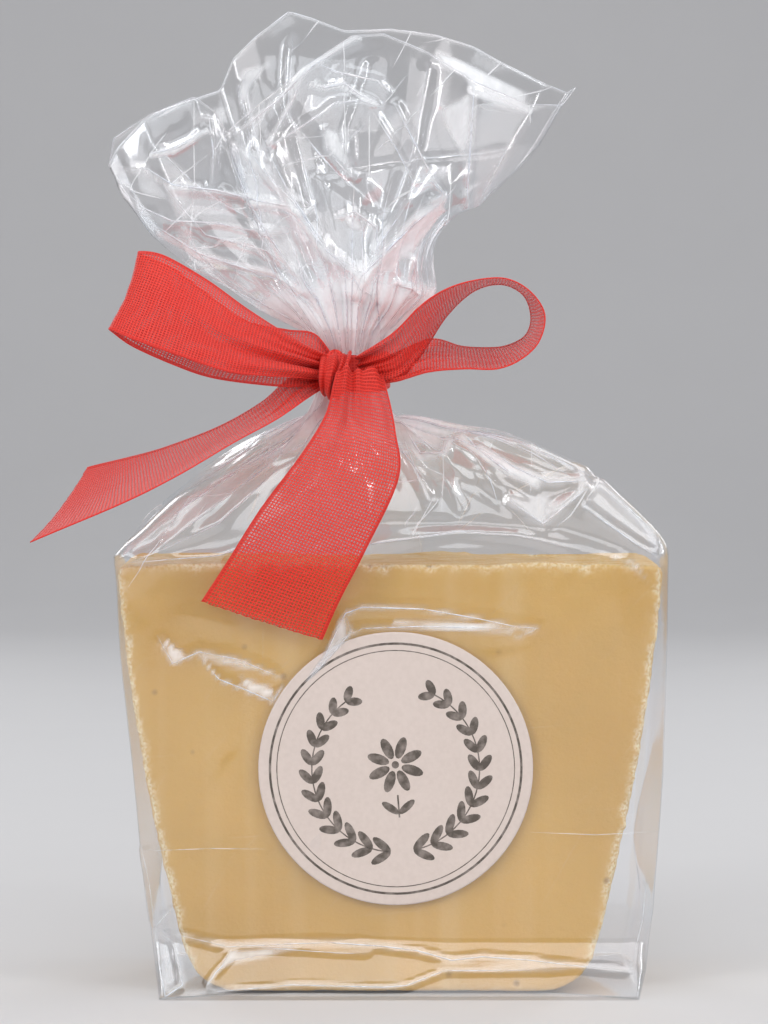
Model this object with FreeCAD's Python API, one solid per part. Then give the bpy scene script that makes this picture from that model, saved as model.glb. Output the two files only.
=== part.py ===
import FreeCAD, Part
import math
import os

from FreeCAD import Vector

# A slice of loaf soap in a clear film bag. The bag is gathered above the soap, tied with
# a sheer ribbon bow and closed with a round paper sticker on its front.
# Millimetres. +Z is up, +X is the viewer's right and -Y faces the viewer.
# The origin is the middle of the bag's flat base.

# Soap slice: cut from a loaf, upside down, so it is wider at the poured top
soap_top_width = 80.0
soap_bottom_width = 57.0
soap_height = 63.0
soap_thickness = 24.0
soap_side_bulge = 1.6        # how far a side bows out of a straight line
soap_foot_radius = 6.0       # rounded corners that the mould left
soap_top_radius = 1.8
soap_edge_softening = 0.6    # worn edges of both cut faces

# Film bag
film_wall = 0.3
film_clearance = 0.3         # between the film and the soap
base_width = 70.0
base_depth = 33.0
base_rise = 8.0              # height at which the film meets the soap's face
gusset_rise = 21.0           # height of the crease where the bag was folded flat
gusset_tuck = 3.0            # how far the side panels fold in at that crease
gusset_clearance = 1.2       # between the folded side panels and the soap
head_space = 0.8             # film that stands straight above the soap

# Gathered neck, a little left of the middle, and the ribbon round it
neck_offset = -6.0
neck_height = 91.0           # middle of the tie
neck_radius = 4.6
neck_length = 7.0            # of the film that is pinched under the ribbon
collar_radius = 7.4          # of the gathers right above and below the pinched neck
collar_height = 2.0          # over which the film opens from the neck to a collar
pleat_depth = 1.5
shoulder_swell = 9.0         # the right shoulder is fuller than the left

# Open flare above the tie
flare_throat_share = 0.14    # rings between the collar and the rim, as shares of the way
flare_waist_share = 0.42
flare_mouth_share = 0.70
flare_lean = 2.6             # the left side of the flare bellies out by this
flare_throat_swell = 2.4     # the right side swells above the collar
flare_waist_pinch = 3.4      # and is pinched in at the waist
flare_fold_depth = 2.0

# Ribbon
ribbon_width = 17.0
ribbon_thickness = 0.4
band_height = 6.0            # the ribbon is gathered to this where it goes round the neck
band_thickness = 1.3
tie_clearance = 0.3
knot_width = 8.0
knot_depth = 6.0
knot_height = 7.5
knot_across = -1.0           # its middle, to the right of the neck's middle
knot_corners = 16
knot_rows = 8
ribbon_gather = 0.42         # share of the width that is left where it enters the knot
ribbon_steps = 4             # facets between two points of its path

# Where the middle of the ribbon runs, from the middle of the tie
left_loop_path = [
    (-3.0, -8.6, 0.5), (-10.0, -12.4, 3.2), (-20.0, -15.6, 6.8), (-29.0, -16.6, 10.2),
    (-33.0, -15.2, 11.8), (-33.4, -13.0, 11.8), (-29.0, -11.2, 9.6), (-20.0, -10.0, 5.4),
    (-10.0, -8.8, 1.6), (-3.0, -7.2, -0.4),
]
right_loop_path = [
    (1.0, -8.8, 1.0), (7.0, -12.6, 4.8), (13.0, -13.2, 9.4), (19.5, -12.4, 12.4),
    (25.5, -11.6, 10.6), (27.6, -11.4, 5.6), (23.5, -11.6, 1.6), (16.5, -11.4, 1.2),
    (8.5, -10.2, 1.6), (1.0, -7.4, -0.6),
]
left_tail_path = [
    (-2.0, -8.0, -1.0), (-8.0, -11.6, -4.4), (-17.0, -15.0, -8.4), (-26.0, -16.2, -12.0),
    (-35.0, -15.8, -15.6), (-43.0, -14.8, -19.4),
]
front_tail_path = [
    (1.0, -8.6, -0.4), (1.7, -11.6, -5.2), (0.6, -13.4, -10.8), (-2.5, -15.0, -17.4),
    (-7.2, -15.4, -26.0), (-12.4, -15.0, -35.5),
]

# Sticker
label_diameter = 40.0
label_thickness = 0.15
label_across = 0.8           # its middle, to the right of the soap's middle
label_height = 33.0

# Facets round the bag: the film is one tube, so every ring has as many corners
front_facets = 10
side_facets = 6
ring_corners = 2 * (front_facets + side_facets)

# Corners of the open mouth's rim, one above each corner of the collar, from the left side
# by the front to the right side and back: across from the neck, towards the back, and
# above the middle of the tie
rim_corners = [
    (-35.6, -3.0, 30.1),
    (-34.5, -7.0, 33.9),
    (-28.3, -11.0, 37.4),
    (-22.2, -13.0, 39.4),
    (-19.5, -11.0, 37.7),
    (-17.8, -8.0, 34.8),
    (-12.5, -13.0, 38.8),
    (-5.5, -17.0, 43.7),
    (0.6, -18.5, 47.5),
    (5.0, -18.0, 47.9),
    (11.4, -16.5, 45.4),
    (18.0, -14.5, 41.5),
    (22.0, -13.0, 40.0),
    (26.0, -11.0, 38.5),
    (31.1, -6.0, 38.9),
    (33.7, 0.0, 42.0),
    (32.6, 3.0, 41.5),
    (29.7, 6.0, 43.0),
    (23.5, 9.0, 46.5),
    (18.8, 11.0, 49.4),
    (12.9, 13.0, 51.4),
    (6.3, 14.0, 52.4),
    (-0.9, 15.0, 52.3),
    (-5.8, 15.0, 54.1),
    (-9.5, 14.5, 55.1),
    (-14.2, 13.0, 51.4),
    (-17.8, 11.0, 47.7),
    (-19.7, 8.5, 42.5),
    (-24.4, 8.0, 40.9),
    (-27.6, 7.0, 39.7),
    (-31.1, 5.5, 37.8),
    (-34.9, 1.5, 33.0),
]

soap_floor = film_wall
soap_top = soap_floor + soap_height
body_top = soap_top + head_space
neck_middle = Vector(neck_offset, 0, neck_height)
film_front = soap_thickness / 2 + film_clearance + film_wall
film_side = film_clearance + film_wall


# Soap

def soap_half_width(height):
    """Half the slice's width at a height above its foot, along the bowed side."""
    share = height / soap_height
    straight = (soap_bottom_width + (soap_top_width - soap_bottom_width) * share) / 2
    return straight + soap_side_bulge * 4 * share * (1 - share)


def soap_slice():
    top, foot = soap_top_width / 2, soap_bottom_width / 2
    middle = soap_half_width(soap_height / 2)
    half_height = soap_height / 2
    right_side = Part.Arc(
        Vector(foot, 0, 0), Vector(middle, 0, half_height), Vector(top, 0, soap_height)
    )
    left_side = Part.Arc(
        Vector(-top, 0, soap_height), Vector(-middle, 0, half_height), Vector(-foot, 0, 0)
    )
    outline = Part.Wire([
        Part.makeLine(Vector(-foot, 0, 0), Vector(foot, 0, 0)),
        right_side.toShape(),
        Part.makeLine(Vector(top, 0, soap_height), Vector(-top, 0, soap_height)),
        left_side.toShape(),
    ])
    slab = Part.Face(outline).extrude(Vector(0, soap_thickness, 0))
    slab.translate(Vector(0, -soap_thickness / 2, soap_floor))
    low = [e for e in slab.Edges if is_across(e) and e.CenterOfMass.z < soap_top - 1]
    slab = slab.makeFillet(soap_foot_radius, low)
    high = [e for e in slab.Edges if is_across(e) and e.CenterOfMass.z > soap_top - 1]
    slab = slab.makeFillet(soap_top_radius, high)
    cut_edges = [e for e in slab.Edges if not is_across(e)]
    return slab.makeChamfer(soap_edge_softening, cut_edges)


def is_across(edge):
    """True for an edge that runs through the slice, from one cut face to the other."""
    return edge.BoundBox.YLength > soap_thickness / 2


# Film bag

def box_ring(width, depth, height, tuck=0.0):
    """A ring round the soap, from the middle of the left side by the front."""
    half_side = side_facets // 2
    x, y = width / 2, depth / 2
    points = []
    for i in range(half_side):
        share = i / half_side
        points.append(Vector(-x + tuck * (1 - share), -y * share, height))
    for i in range(front_facets):
        points.append(Vector(-x + width * i / front_facets, -y, height))
    for i in range(side_facets):
        share = 1 - 2 * i / side_facets
        points.append(Vector(x - tuck * (1 - abs(share)), -y * share, height))
    for i in range(front_facets):
        points.append(Vector(x - width * i / front_facets, y, height))
    for i in range(half_side):
        share = 1 - i / half_side
        points.append(Vector(-x + tuck * (1 - share), y * share, height))
    return points


def gathered_ring(radius, height, depth=pleat_depth):
    """A ring of pleats round the neck, in the same order as box_ring."""
    points = []
    for i in range(ring_corners):
        angle = math.pi + 2 * math.pi * i / ring_corners
        reach = radius - (depth if i % 2 else 0)
        points.append(Vector(
            neck_offset + reach * math.cos(angle), reach * math.sin(angle), height
        ))
    return points


def between(low, high, share):
    return [a + (b - a) * share for a, b in zip(low, high)]


def folded(points, depth):
    """Pulls every second corner towards the neck's line, as a pleat."""
    made = []
    for i, p in enumerate(points):
        inward = Vector(neck_offset - p.x, -p.y, 0)
        made.append(p + inward.normalize() * depth if i % 2 else p)
    return made


def swollen(points, right, left):
    """Moves corners outwards along X: fully at the sides, not at all in the middle."""
    reach = max(abs(p.x - neck_offset) for p in points)
    made = []
    for p in points:
        share = (p.x - neck_offset) / reach
        move = right * share * share if share > 0 else -left * share * share
        made.append(p + Vector(move, 0, 0))
    return made


def body_rings():
    crease_width = 2 * soap_half_width(gusset_rise) + 2 * (
        film_side + gusset_clearance + gusset_tuck
    )
    waist = (gusset_rise + body_top) / 2
    top_width = soap_top_width + 2 * film_side
    waist_width = (crease_width + top_width) / 2 + film_side
    foot_width = (base_width + crease_width) / 2
    depth = 2 * film_front
    return [
        box_ring(base_width, base_depth, 0),
        box_ring(foot_width, depth, base_rise, gusset_tuck),
        box_ring(crease_width, depth, gusset_rise, gusset_tuck),
        box_ring(waist_width, depth, waist),
        box_ring(top_width, depth, body_top),
    ]


def shoulder_rings(top_ring):
    low_collar = gathered_ring(collar_radius, neck_height - neck_length / 2 - collar_height)
    lower = swollen(between(top_ring, low_collar, 0.38), shoulder_swell, 0)
    upper = swollen(between(top_ring, low_collar, 0.72), shoulder_swell, 0)
    return [
        folded(lower, pleat_depth * 0.5),
        folded(upper, pleat_depth * 0.8),
        low_collar,
    ]


def neck_rings():
    """The pinched film that the ribbon goes round."""
    half = neck_length / 2
    return [
        gathered_ring(neck_radius, neck_height - half, pleat_depth / 2),
        gathered_ring(neck_radius, neck_height + half, pleat_depth / 2),
    ]


def bellied(points, share):
    """The left side of the flare bellies out and down, most of all half way up."""
    reach = max(abs(p.x - neck_offset) for p in points)
    bulge = flare_lean * 4 * share * (1 - share)
    made = []
    for p in points:
        left = max(0, (neck_offset - p.x) / reach)
        made.append(p + Vector(-bulge * left, 0, -bulge * left * left))
    return made


def flare_rings():
    collar = gathered_ring(collar_radius, neck_height + neck_length / 2 + collar_height)
    rim = [neck_middle + Vector(*corner) for corner in rim_corners]
    throat = between(collar, rim, flare_throat_share)
    waist = between(collar, rim, flare_waist_share)
    mouth = between(collar, rim, flare_mouth_share)
    return [
        collar,
        bellied(swollen(throat, flare_throat_swell, 0), flare_throat_share),
        folded(
            bellied(swollen(waist, -flare_waist_pinch, 0), flare_waist_share),
            flare_fold_depth,
        ),
        folded(bellied(mouth, flare_mouth_share), flare_fold_depth / 2),
        rim,
    ]


def triangles(low, high):
    """Two flat facets for each corner of a band between two rings."""
    made = []
    for i in range(len(low)):
        j = (i + 1) % len(low)
        made.append((low[i], low[j], high[j]))
        made.append((low[i], high[j], high[i]))
    return made


def corner_normals(rings):
    """The film's outward direction at each corner of each ring."""
    sums = [[Vector(0, 0, 0) for _ in ring] for ring in rings]
    for k in range(len(rings) - 1):
        low, high = rings[k], rings[k + 1]
        for i in range(ring_corners):
            j = (i + 1) % ring_corners
            first = (low[j] - low[i]).cross(high[j] - low[i])
            second = (high[j] - low[i]).cross(high[i] - low[i])
            for ring, corner, normal in (
                (k, i, first), (k, j, first), (k + 1, j, first),
                (k, i, second), (k + 1, j, second), (k + 1, i, second),
            ):
                sums[ring][corner] = sums[ring][corner] + normal
    return [[n.normalize() for n in ring] for ring in sums]


def inner_rings(rings):
    """The same film's inner face, one wall further in."""
    normals = corner_normals(rings)
    return [
        [p - n * film_wall for p, n in zip(ring, ring_normals)]
        for ring, ring_normals in zip(rings, normals)
    ]


def solid_from(facets):
    faces = [Part.Face(Part.makePolygon(list(f) + [f[0]])) for f in facets]
    shell = Part.makeShell(faces)
    shell.sewShape()
    solid = Part.makeSolid(shell)
    if solid.Volume < 0:
        solid.reverse()
    return solid


def fan(ring):
    """Facets that close a ring at its middle."""
    middle = Vector(0, 0, 0)
    for p in ring:
        middle = middle + p * (1 / len(ring))
    return [(ring[i], ring[(i + 1) % len(ring)], middle) for i in range(len(ring))]


def film_bag():
    body = body_rings()
    lower = body + shoulder_rings(body[-1])
    upper = flare_rings()
    outside = lower + neck_rings() + upper

    skin = [tuple(outside[0])]
    for k in range(len(outside) - 1):
        skin += triangles(outside[k], outside[k + 1])
    cup = inner_rings(upper)
    skin += triangles(upper[-1], cup[-1])
    for k in range(len(cup) - 1):
        skin += triangles(cup[k], cup[k + 1])
    skin += fan(cup[0])

    pocket = inner_rings(lower)
    floor = inset(between(body[0], pocket[1], film_wall / base_rise), film_wall)
    pocket[0] = [Vector(p.x, p.y, film_wall) for p in floor]
    room = [tuple(pocket[0])]
    for k in range(len(pocket) - 1):
        room += triangles(pocket[k], pocket[k + 1])
    room += fan(pocket[-1])
    return solid_from(skin).cut(solid_from(room))


def inset(ring, distance):
    """A flat, box-like ring made smaller by a distance on each side."""
    across = max(p.x for p in ring)
    deep = max(p.y for p in ring)
    return [
        Vector(p.x * (across - distance) / across, p.y * (deep - distance) / deep, p.z)
        for p in ring
    ]


# Ribbon

def smooth_through(points):
    """A curve through the points, whose parameter is 0 at the first and 1 more at each."""
    curve = Part.BSplineCurve()
    curve.interpolate(Points=points, Parameters=[float(i) for i in range(len(points))])
    return curve


def strip_facets(a, b):
    """Facets between two sections of a ribbon, with both faces split along the same line."""
    return [
        (a[0], a[1], b[1]), (a[0], b[1], b[0]),
        (a[1], a[2], b[2]), (a[1], b[2], b[1]),
        (a[2], a[3], b[3]), (a[2], b[3], b[2]),
        (a[3], a[0], b[3]), (a[0], b[0], b[3]),
    ]


def strip(path, lies):
    """A ribbon along a path, each of whose points has a width direction and a share."""
    low_edge, high_edge = [], []
    for point, (direction, share) in zip(path, lies):
        middle = neck_middle + Vector(*point)
        half = Vector(*direction).normalize() * (ribbon_width * share / 2)
        low_edge.append(middle - half)
        high_edge.append(middle + half)
    low_curve, high_curve = smooth_through(low_edge), smooth_through(high_edge)
    sections = []
    for k in range((len(path) - 1) * ribbon_steps + 1):
        at = k / ribbon_steps
        low, high = low_curve.value(at), high_curve.value(at)
        along = low_curve.getD1(at)[1] + high_curve.getD1(at)[1]
        face = along.cross(high - low).normalize() * (ribbon_thickness / 2)
        sections.append([low + face, low - face, high - face, high + face])
    skin = [tuple(sections[0]), tuple(sections[-1])]
    for section, following in zip(sections, sections[1:]):
        skin += strip_facets(section, following)
    return solid_from(skin)


def left_loop():
    upright, turned, slight = (0.25, 0.40, 0.88), (0.2, 0.3, 0.9), (0.1, 0.1, 1)
    return strip(left_loop_path, [
        ((0, 0, 1), ribbon_gather), (slight, 0.62), (turned, 0.88), (upright, 0.94),
        (upright, 0.94), (upright, 0.94), (upright, 0.94), (turned, 0.88),
        (slight, 0.62), ((0, 0, 1), ribbon_gather),
    ])


def right_loop():
    return strip(right_loop_path, [
        ((0, 0.2, 1), ribbon_gather), ((-0.5, 0.5, 0.8), 0.68), ((-0.4, 0.85, 0.4), 0.90),
        ((-0.1, 0.98, 0.2), 1.0), ((0.1, 0.98, 0.1), 1.0), ((0.1, 0.98, 0.1), 1.0),
        ((0.1, 0.95, 0.3), 1.0), ((0, 0.8, 0.6), 0.90), ((0, 0.4, 0.9), 0.68),
        ((0, 0, 1), ribbon_gather),
    ])


def left_tail():
    return strip(left_tail_path, [
        ((0, 0, 1), ribbon_gather), ((0, 0.5, 1), 0.50), ((0.1, 0.95, 0.35), 0.80),
        ((0.1, 0.95, 0.30), 0.96), ((0.15, 0.92, 0.42), 1.0), ((0.42, 0.72, 0.58), 1.0),
    ])


def front_tail():
    return strip(front_tail_path, [
        ((1, 0, 0), ribbon_gather), ((0.99, 0, -0.14), 0.53), ((0.98, 0, -0.17), 0.75),
        ((0.94, 0, -0.30), 0.94), ((0.93, 0, -0.36), 1.0), ((0.96, 0, -0.28), 1.06),
    ])


def neck_band():
    """The ribbon's turn round the neck, seen as one soft band."""
    inner = neck_radius + tie_clearance
    outer = inner + band_thickness
    half = band_height / 2
    outline = Part.makePolygon([
        Vector(inner, 0, -half), Vector(outer, 0, -half),
        Vector(outer, 0, half), Vector(inner, 0, half), Vector(inner, 0, -half),
    ])
    ring = Part.Face(outline).revolve(Vector(0, 0, 0), Vector(0, 0, 1), 360)
    ring = ring.makeChamfer(band_thickness * 0.35, ring.Edges)
    ring.translate(neck_middle)
    return ring


def knot():
    """The knot in front of the neck: a faceted lump, from its foot to its top."""
    front = neck_radius + tie_clearance + knot_depth / 2
    middle = neck_middle + Vector(knot_across, -front, 0)
    rings = []
    for k in range(1, knot_rows):
        slope = math.pi * (k / knot_rows - 0.5)
        reach, lift = math.cos(slope) / 2, math.sin(slope) / 2
        rings.append([
            middle + Vector(
                knot_width * reach * math.cos(2 * math.pi * i / knot_corners),
                knot_depth * reach * math.sin(2 * math.pi * i / knot_corners),
                knot_height * lift,
            )
            for i in range(knot_corners)
        ])
    skin = [tuple(rings[0]), tuple(rings[-1])]
    for low, high in zip(rings, rings[1:]):
        skin += triangles(low, high)
    return solid_from(skin)


def ribbon_bow():
    bow = neck_band().fuse(knot())
    for piece in (left_loop(), right_loop(), left_tail(), front_tail()):
        bow = bow.fuse(piece)
    return bow


# Sticker

def round_label():
    disc = Part.makeCylinder(label_diameter / 2, label_thickness)
    disc.rotate(Vector(0, 0, 0), Vector(1, 0, 0), 90)
    disc.translate(Vector(label_across, -film_front, soap_floor + label_height))
    return disc


def main():
    os.makedirs("parts", exist_ok=True)
    nodes = {
        "soap_bar": soap_slice(),
        "film_bag": film_bag(),
        "ribbon_bow": ribbon_bow(),
        "round_label": round_label(),
    }
    for name, shape in nodes.items():
        shape.exportStep("parts/" + name + ".step")
        print(name, len(shape.Solids), shape.isValid(), round(shape.Volume, 1))


main()
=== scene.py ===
import math
import bpy
import numpy as np
from mathutils import Matrix, Vector
from mathutils.bvhtree import BVHTree


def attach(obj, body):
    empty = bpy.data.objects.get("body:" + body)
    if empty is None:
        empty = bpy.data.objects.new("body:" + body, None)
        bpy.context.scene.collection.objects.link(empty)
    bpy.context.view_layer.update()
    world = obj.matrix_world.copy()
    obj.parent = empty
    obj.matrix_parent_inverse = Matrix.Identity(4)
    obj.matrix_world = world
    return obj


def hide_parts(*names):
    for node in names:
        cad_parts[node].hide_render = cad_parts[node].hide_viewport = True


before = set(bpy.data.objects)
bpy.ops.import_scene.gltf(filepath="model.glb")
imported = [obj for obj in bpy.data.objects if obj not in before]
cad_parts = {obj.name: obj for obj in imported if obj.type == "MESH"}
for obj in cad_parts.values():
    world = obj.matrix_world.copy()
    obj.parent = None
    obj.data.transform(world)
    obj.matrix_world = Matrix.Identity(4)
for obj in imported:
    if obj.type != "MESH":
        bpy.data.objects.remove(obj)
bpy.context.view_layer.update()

# A slice of cream loaf soap in a clear film bag, gathered and tied with a sheer ribbon.
# Lengths in the dictionaries are millimetres, and mm() makes them metres.

rng = np.random.default_rng(17)


def mm(value):
    return value * 0.001


def deselectAll():
    if bpy.context.object and bpy.context.object.mode != "OBJECT":
        bpy.ops.object.mode_set(mode="OBJECT")
    bpy.ops.object.select_all(action="DESELECT")


def unit(x):
    return np.clip(x, 0, 1)


def unitVector(v):
    return v / max(np.linalg.norm(v), 1e-9)


def smoothStep(x):
    x = unit(x)
    return x * x * (3 - 2 * x)


# Goes smoothly from 0 at a start to 1 a length further on
def ramp(x, start, length):
    return smoothStep((x - start) / length)


def setMode(mode):
    bpy.ops.object.mode_set(mode=mode)


def makeActive(piece):
    deselectAll()
    piece.select_set(True)
    bpy.context.view_layer.objects.active = piece


# A new piece from one of Blender's own shapes
def startWith(name, shape, location=(0, 0, 0), **settings):
    deselectAll()
    shape(location=location, **settings)
    piece = bpy.context.object
    piece.name = name
    return piece


# A new piece from points in millimetres
def newPiece(name, points, faces, material):
    mesh = bpy.data.meshes.new(name)
    mesh.from_pydata((np.asarray(points) * 0.001).tolist(), [], faces)
    mesh.materials.append(material)
    mesh.shade_smooth()
    piece = bpy.data.objects.new(name, mesh)
    bpy.context.collection.objects.link(piece)
    return piece


# Quads between a grid's points. A closed grid's last column meets its first.
def gridFaces(rows, columns, closed):
    faces = []
    for r in range(rows - 1):
        for c in range(columns if closed else columns - 1):
            d = (c + 1) % columns
            faces.append((r * columns + c, r * columns + d, (r + 1) * columns + d, (r + 1) * columns + c))
    return faces


def addLayer(mesh, name, values):
    mesh.attributes.new(name, "FLOAT", "POINT").data.foreach_set("value", np.asarray(values, np.float32))


def applyModifier(piece, kind, **settings):
    makeActive(piece)
    modifier = piece.modifiers.new(kind, kind)
    for key, value in settings.items():
        setattr(modifier, key, value)
    bpy.ops.object.modifier_apply(modifier=modifier.name)


# Leaves the active piece in edit mode with the edges selected whose two ends pass a test
def pickEdges(piece, test):
    setMode("EDIT")
    bpy.ops.mesh.select_mode(type="EDGE")
    bpy.ops.mesh.select_all(action="DESELECT")
    setMode("OBJECT")
    vertices = piece.data.vertices
    for e in piece.data.edges:
        e.select = bool(test(*(vertices[i].co for i in e.vertices)))
    setMode("EDIT")


def turnOutwards():
    setMode("EDIT")
    bpy.ops.mesh.select_all(action="SELECT")
    bpy.ops.mesh.normals_make_consistent(inside=False)
    setMode("OBJECT")


# Camera: level with the bag, a little above its middle, as in the photograph

view = {
    "distance": 400.0,       # from the film's front face
    "across": -0.9,
    "height": 70.7,          # of the point in the middle of the picture
    "down": 3.0,             # degrees
    "pixelsPerMm": 6.9,
    "pictureHeight": 1024,
    "face": -12.6,
}

cameraData = bpy.data.cameras.new("camera")
camera = bpy.data.objects.new("camera", cameraData)
bpy.context.collection.objects.link(camera)
tilt = math.radians(view["down"])
camera.location = (
    mm(view["across"]),
    mm(view["face"] - view["distance"] * math.cos(tilt)),
    mm(view["height"] + view["distance"] * math.sin(tilt)),
)
camera.rotation_euler = (math.pi / 2 - tilt, 0, 0)
cameraData.sensor_fit = "VERTICAL"
cameraData.angle = 2 * math.atan(view["pictureHeight"] / 2 / (view["pixelsPerMm"] * view["distance"]))
cameraData.clip_start = 0.01
bpy.context.scene.camera = camera


# Short names for adding and joining a tree's nodes
class Nodes:
    def __init__(self, tree):
        self.tree = tree

    def add(self, kind, **settings):
        node = self.tree.nodes.new(kind)
        for key, value in settings.items():
            if key in node.inputs:
                node.inputs[key].default_value = value
            else:
                setattr(node, key, value)
        return node

    def join(self, source, target):
        self.tree.links.new(source, target)

    # Sets a node's inputs: a plain value is written, another node's output is joined
    def feed(self, node, values):
        for key, value in values.items():
            if isinstance(value, (int, float, tuple)):
                node.inputs[key].default_value = value
            elif value is not None:
                self.join(value, node.inputs[key])
        return node.outputs[0] if node.outputs else None

    def math(self, operation, first, second=None, clamp=False):
        return self.feed(self.add("ShaderNodeMath", operation=operation, use_clamp=clamp), {0: first, 1: second})

    def mapRange(self, value, low, high, newLow=0.0, newHigh=1.0):
        node = self.add("ShaderNodeMapRange", clamp=True)
        return self.feed(node, dict(enumerate((value, low, high, newLow, newHigh))))

    def mixColor(self, share, first, second):
        node = self.add("ShaderNodeMix", data_type="RGBA")
        self.feed(node, {0: share, 6: first, 7: second})
        return node.outputs[2]

    def noise(self, vector, scale, detail=3.0, rough=0.55, stretch=None):
        if stretch:
            vector = self.feed(self.add("ShaderNodeMapping"), {"Scale": stretch, "Vector": vector})
        values = {"Scale": scale, "Detail": detail, "Roughness": rough, "Vector": vector}
        return self.feed(self.add("ShaderNodeTexNoise"), values)

    def mottle(self, vector, scale, detail, edges, shares, first, second):
        values = (vector, scale, detail, *edges, *shares, first, second)
        return self.feed(self.add("ShaderNodeGroup", node_tree=mottled), dict(zip(mottleInputs, values)))

    def objectSpace(self):
        return self.add("ShaderNodeTexCoord").outputs["Object"]

    def uvSpace(self):
        return self.add("ShaderNodeTexCoord").outputs["UV"]

    def attribute(self, name):
        return self.add("ShaderNodeAttribute", attribute_name=name).outputs["Fac"]

    def bump(self, height, strength, distance, normal=None):
        values = {"Strength": strength, "Distance": distance, "Height": height, "Normal": normal}
        return self.feed(self.add("ShaderNodeBump"), values)


mottleInputs = {
    "Vector": "Vector", "Scale": "Float", "Detail": "Float", "Low": "Float", "High": "Float",
    "Least": "Float", "Most": "Float", "First": "Color", "Second": "Color",
}


# Soft uneven patches of one colour over another, shared by the materials
def mottleTree():
    tree = bpy.data.node_groups.new("mottle", "ShaderNodeTree")
    for name, kind in mottleInputs.items():
        tree.interface.new_socket(name=name, in_out="INPUT", socket_type="NodeSocket" + kind)
    tree.interface.new_socket(name="Color", in_out="OUTPUT", socket_type="NodeSocketColor")
    nodes = Nodes(tree)
    given, result = nodes.add("NodeGroupInput").outputs, nodes.add("NodeGroupOutput")
    noise = nodes.feed(nodes.add("ShaderNodeTexNoise"), {n: given[n] for n in ("Vector", "Scale", "Detail")})
    share = nodes.mapRange(noise, given["Low"], given["High"], given["Least"], given["Most"])
    nodes.join(nodes.mixColor(share, given["First"], given["Second"]), result.inputs["Color"])
    return tree


mottled = mottleTree()


def newMaterial(name):
    material = bpy.data.materials.new(name)
    material.use_nodes = True
    return material, Nodes(material.node_tree), material.node_tree.nodes["Principled BSDF"]


# Film finish: clear and glossy, whiter where it is creased and bunched; that whiteness also carries painted
# highlights and reflections

filmFinish = {
    "tint": (0.97, 0.985, 1.0, 1),
    "cool": (0.86, 0.92, 1.0, 1),
    "warm": (1.0, 0.95, 0.98, 1),
    "faceOn": 0.065,          # share of light that one surface reflects face on
    "grazing": 0.68,
    "shade": 0.4,             # how much of that it holds back from what lies behind it
    "hazeAndGlintOpacity": 0.92,
    "roughness": 0.105,
    "hazeAndGlintRoughness": 0.40,
    "lineWidth": 0.11,
    "crinkle": 0.00006,
}


# Flat folds through the whole film: direction, spacing, start and height of each set
def crumplePlanes(count, seed):
    local = np.random.default_rng(seed)
    planes = []
    for _ in range(count):
        direction = unitVector(local.normal(size=3) * (1.0, 0.5, 0.9))
        planes.append((direction, local.uniform(15, 28), local.random(), local.uniform(0.6, 1.0)))
    return planes


crumples = crumplePlanes(5, 41)


# Fine broken white lines where the film's flat folds meet: partly crease whitening, partly painted highlight
def crumpleLines(nodes, place):
    lines = None
    masks = []
    for scale in (75.0, 110.0):
        noise = nodes.add("ShaderNodeTexNoise", Scale=scale, Detail=2.0)
        nodes.join(place, noise.inputs["Vector"])
        split = nodes.add("ShaderNodeSeparateColor")
        nodes.join(noise.outputs["Color"], split.inputs[0])
        masks += list(split.outputs)[:3]
    for (direction, spacing, start, _), mask in zip(crumples, masks):
        dot = nodes.add("ShaderNodeVectorMath", operation="DOT_PRODUCT")
        nodes.join(place, dot.inputs[0])
        dot.inputs[1].default_value = tuple(direction * 1000 / spacing)
        turns = nodes.math("ADD", dot.outputs["Value"], float(start))
        middle = nodes.math("ABSOLUTE", nodes.math("SUBTRACT", nodes.math("PINGPONG", turns, 0.5), 0.25))
        width = filmFinish["lineWidth"] / spacing
        line = nodes.mapRange(middle, 0.25 - width, 0.25 - width * 0.3)
        line = nodes.math("MULTIPLY", line, nodes.mapRange(mask, 0.52, 0.66))
        lines = line if lines is None else nodes.math("MAXIMUM", lines, line)
    return lines


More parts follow.
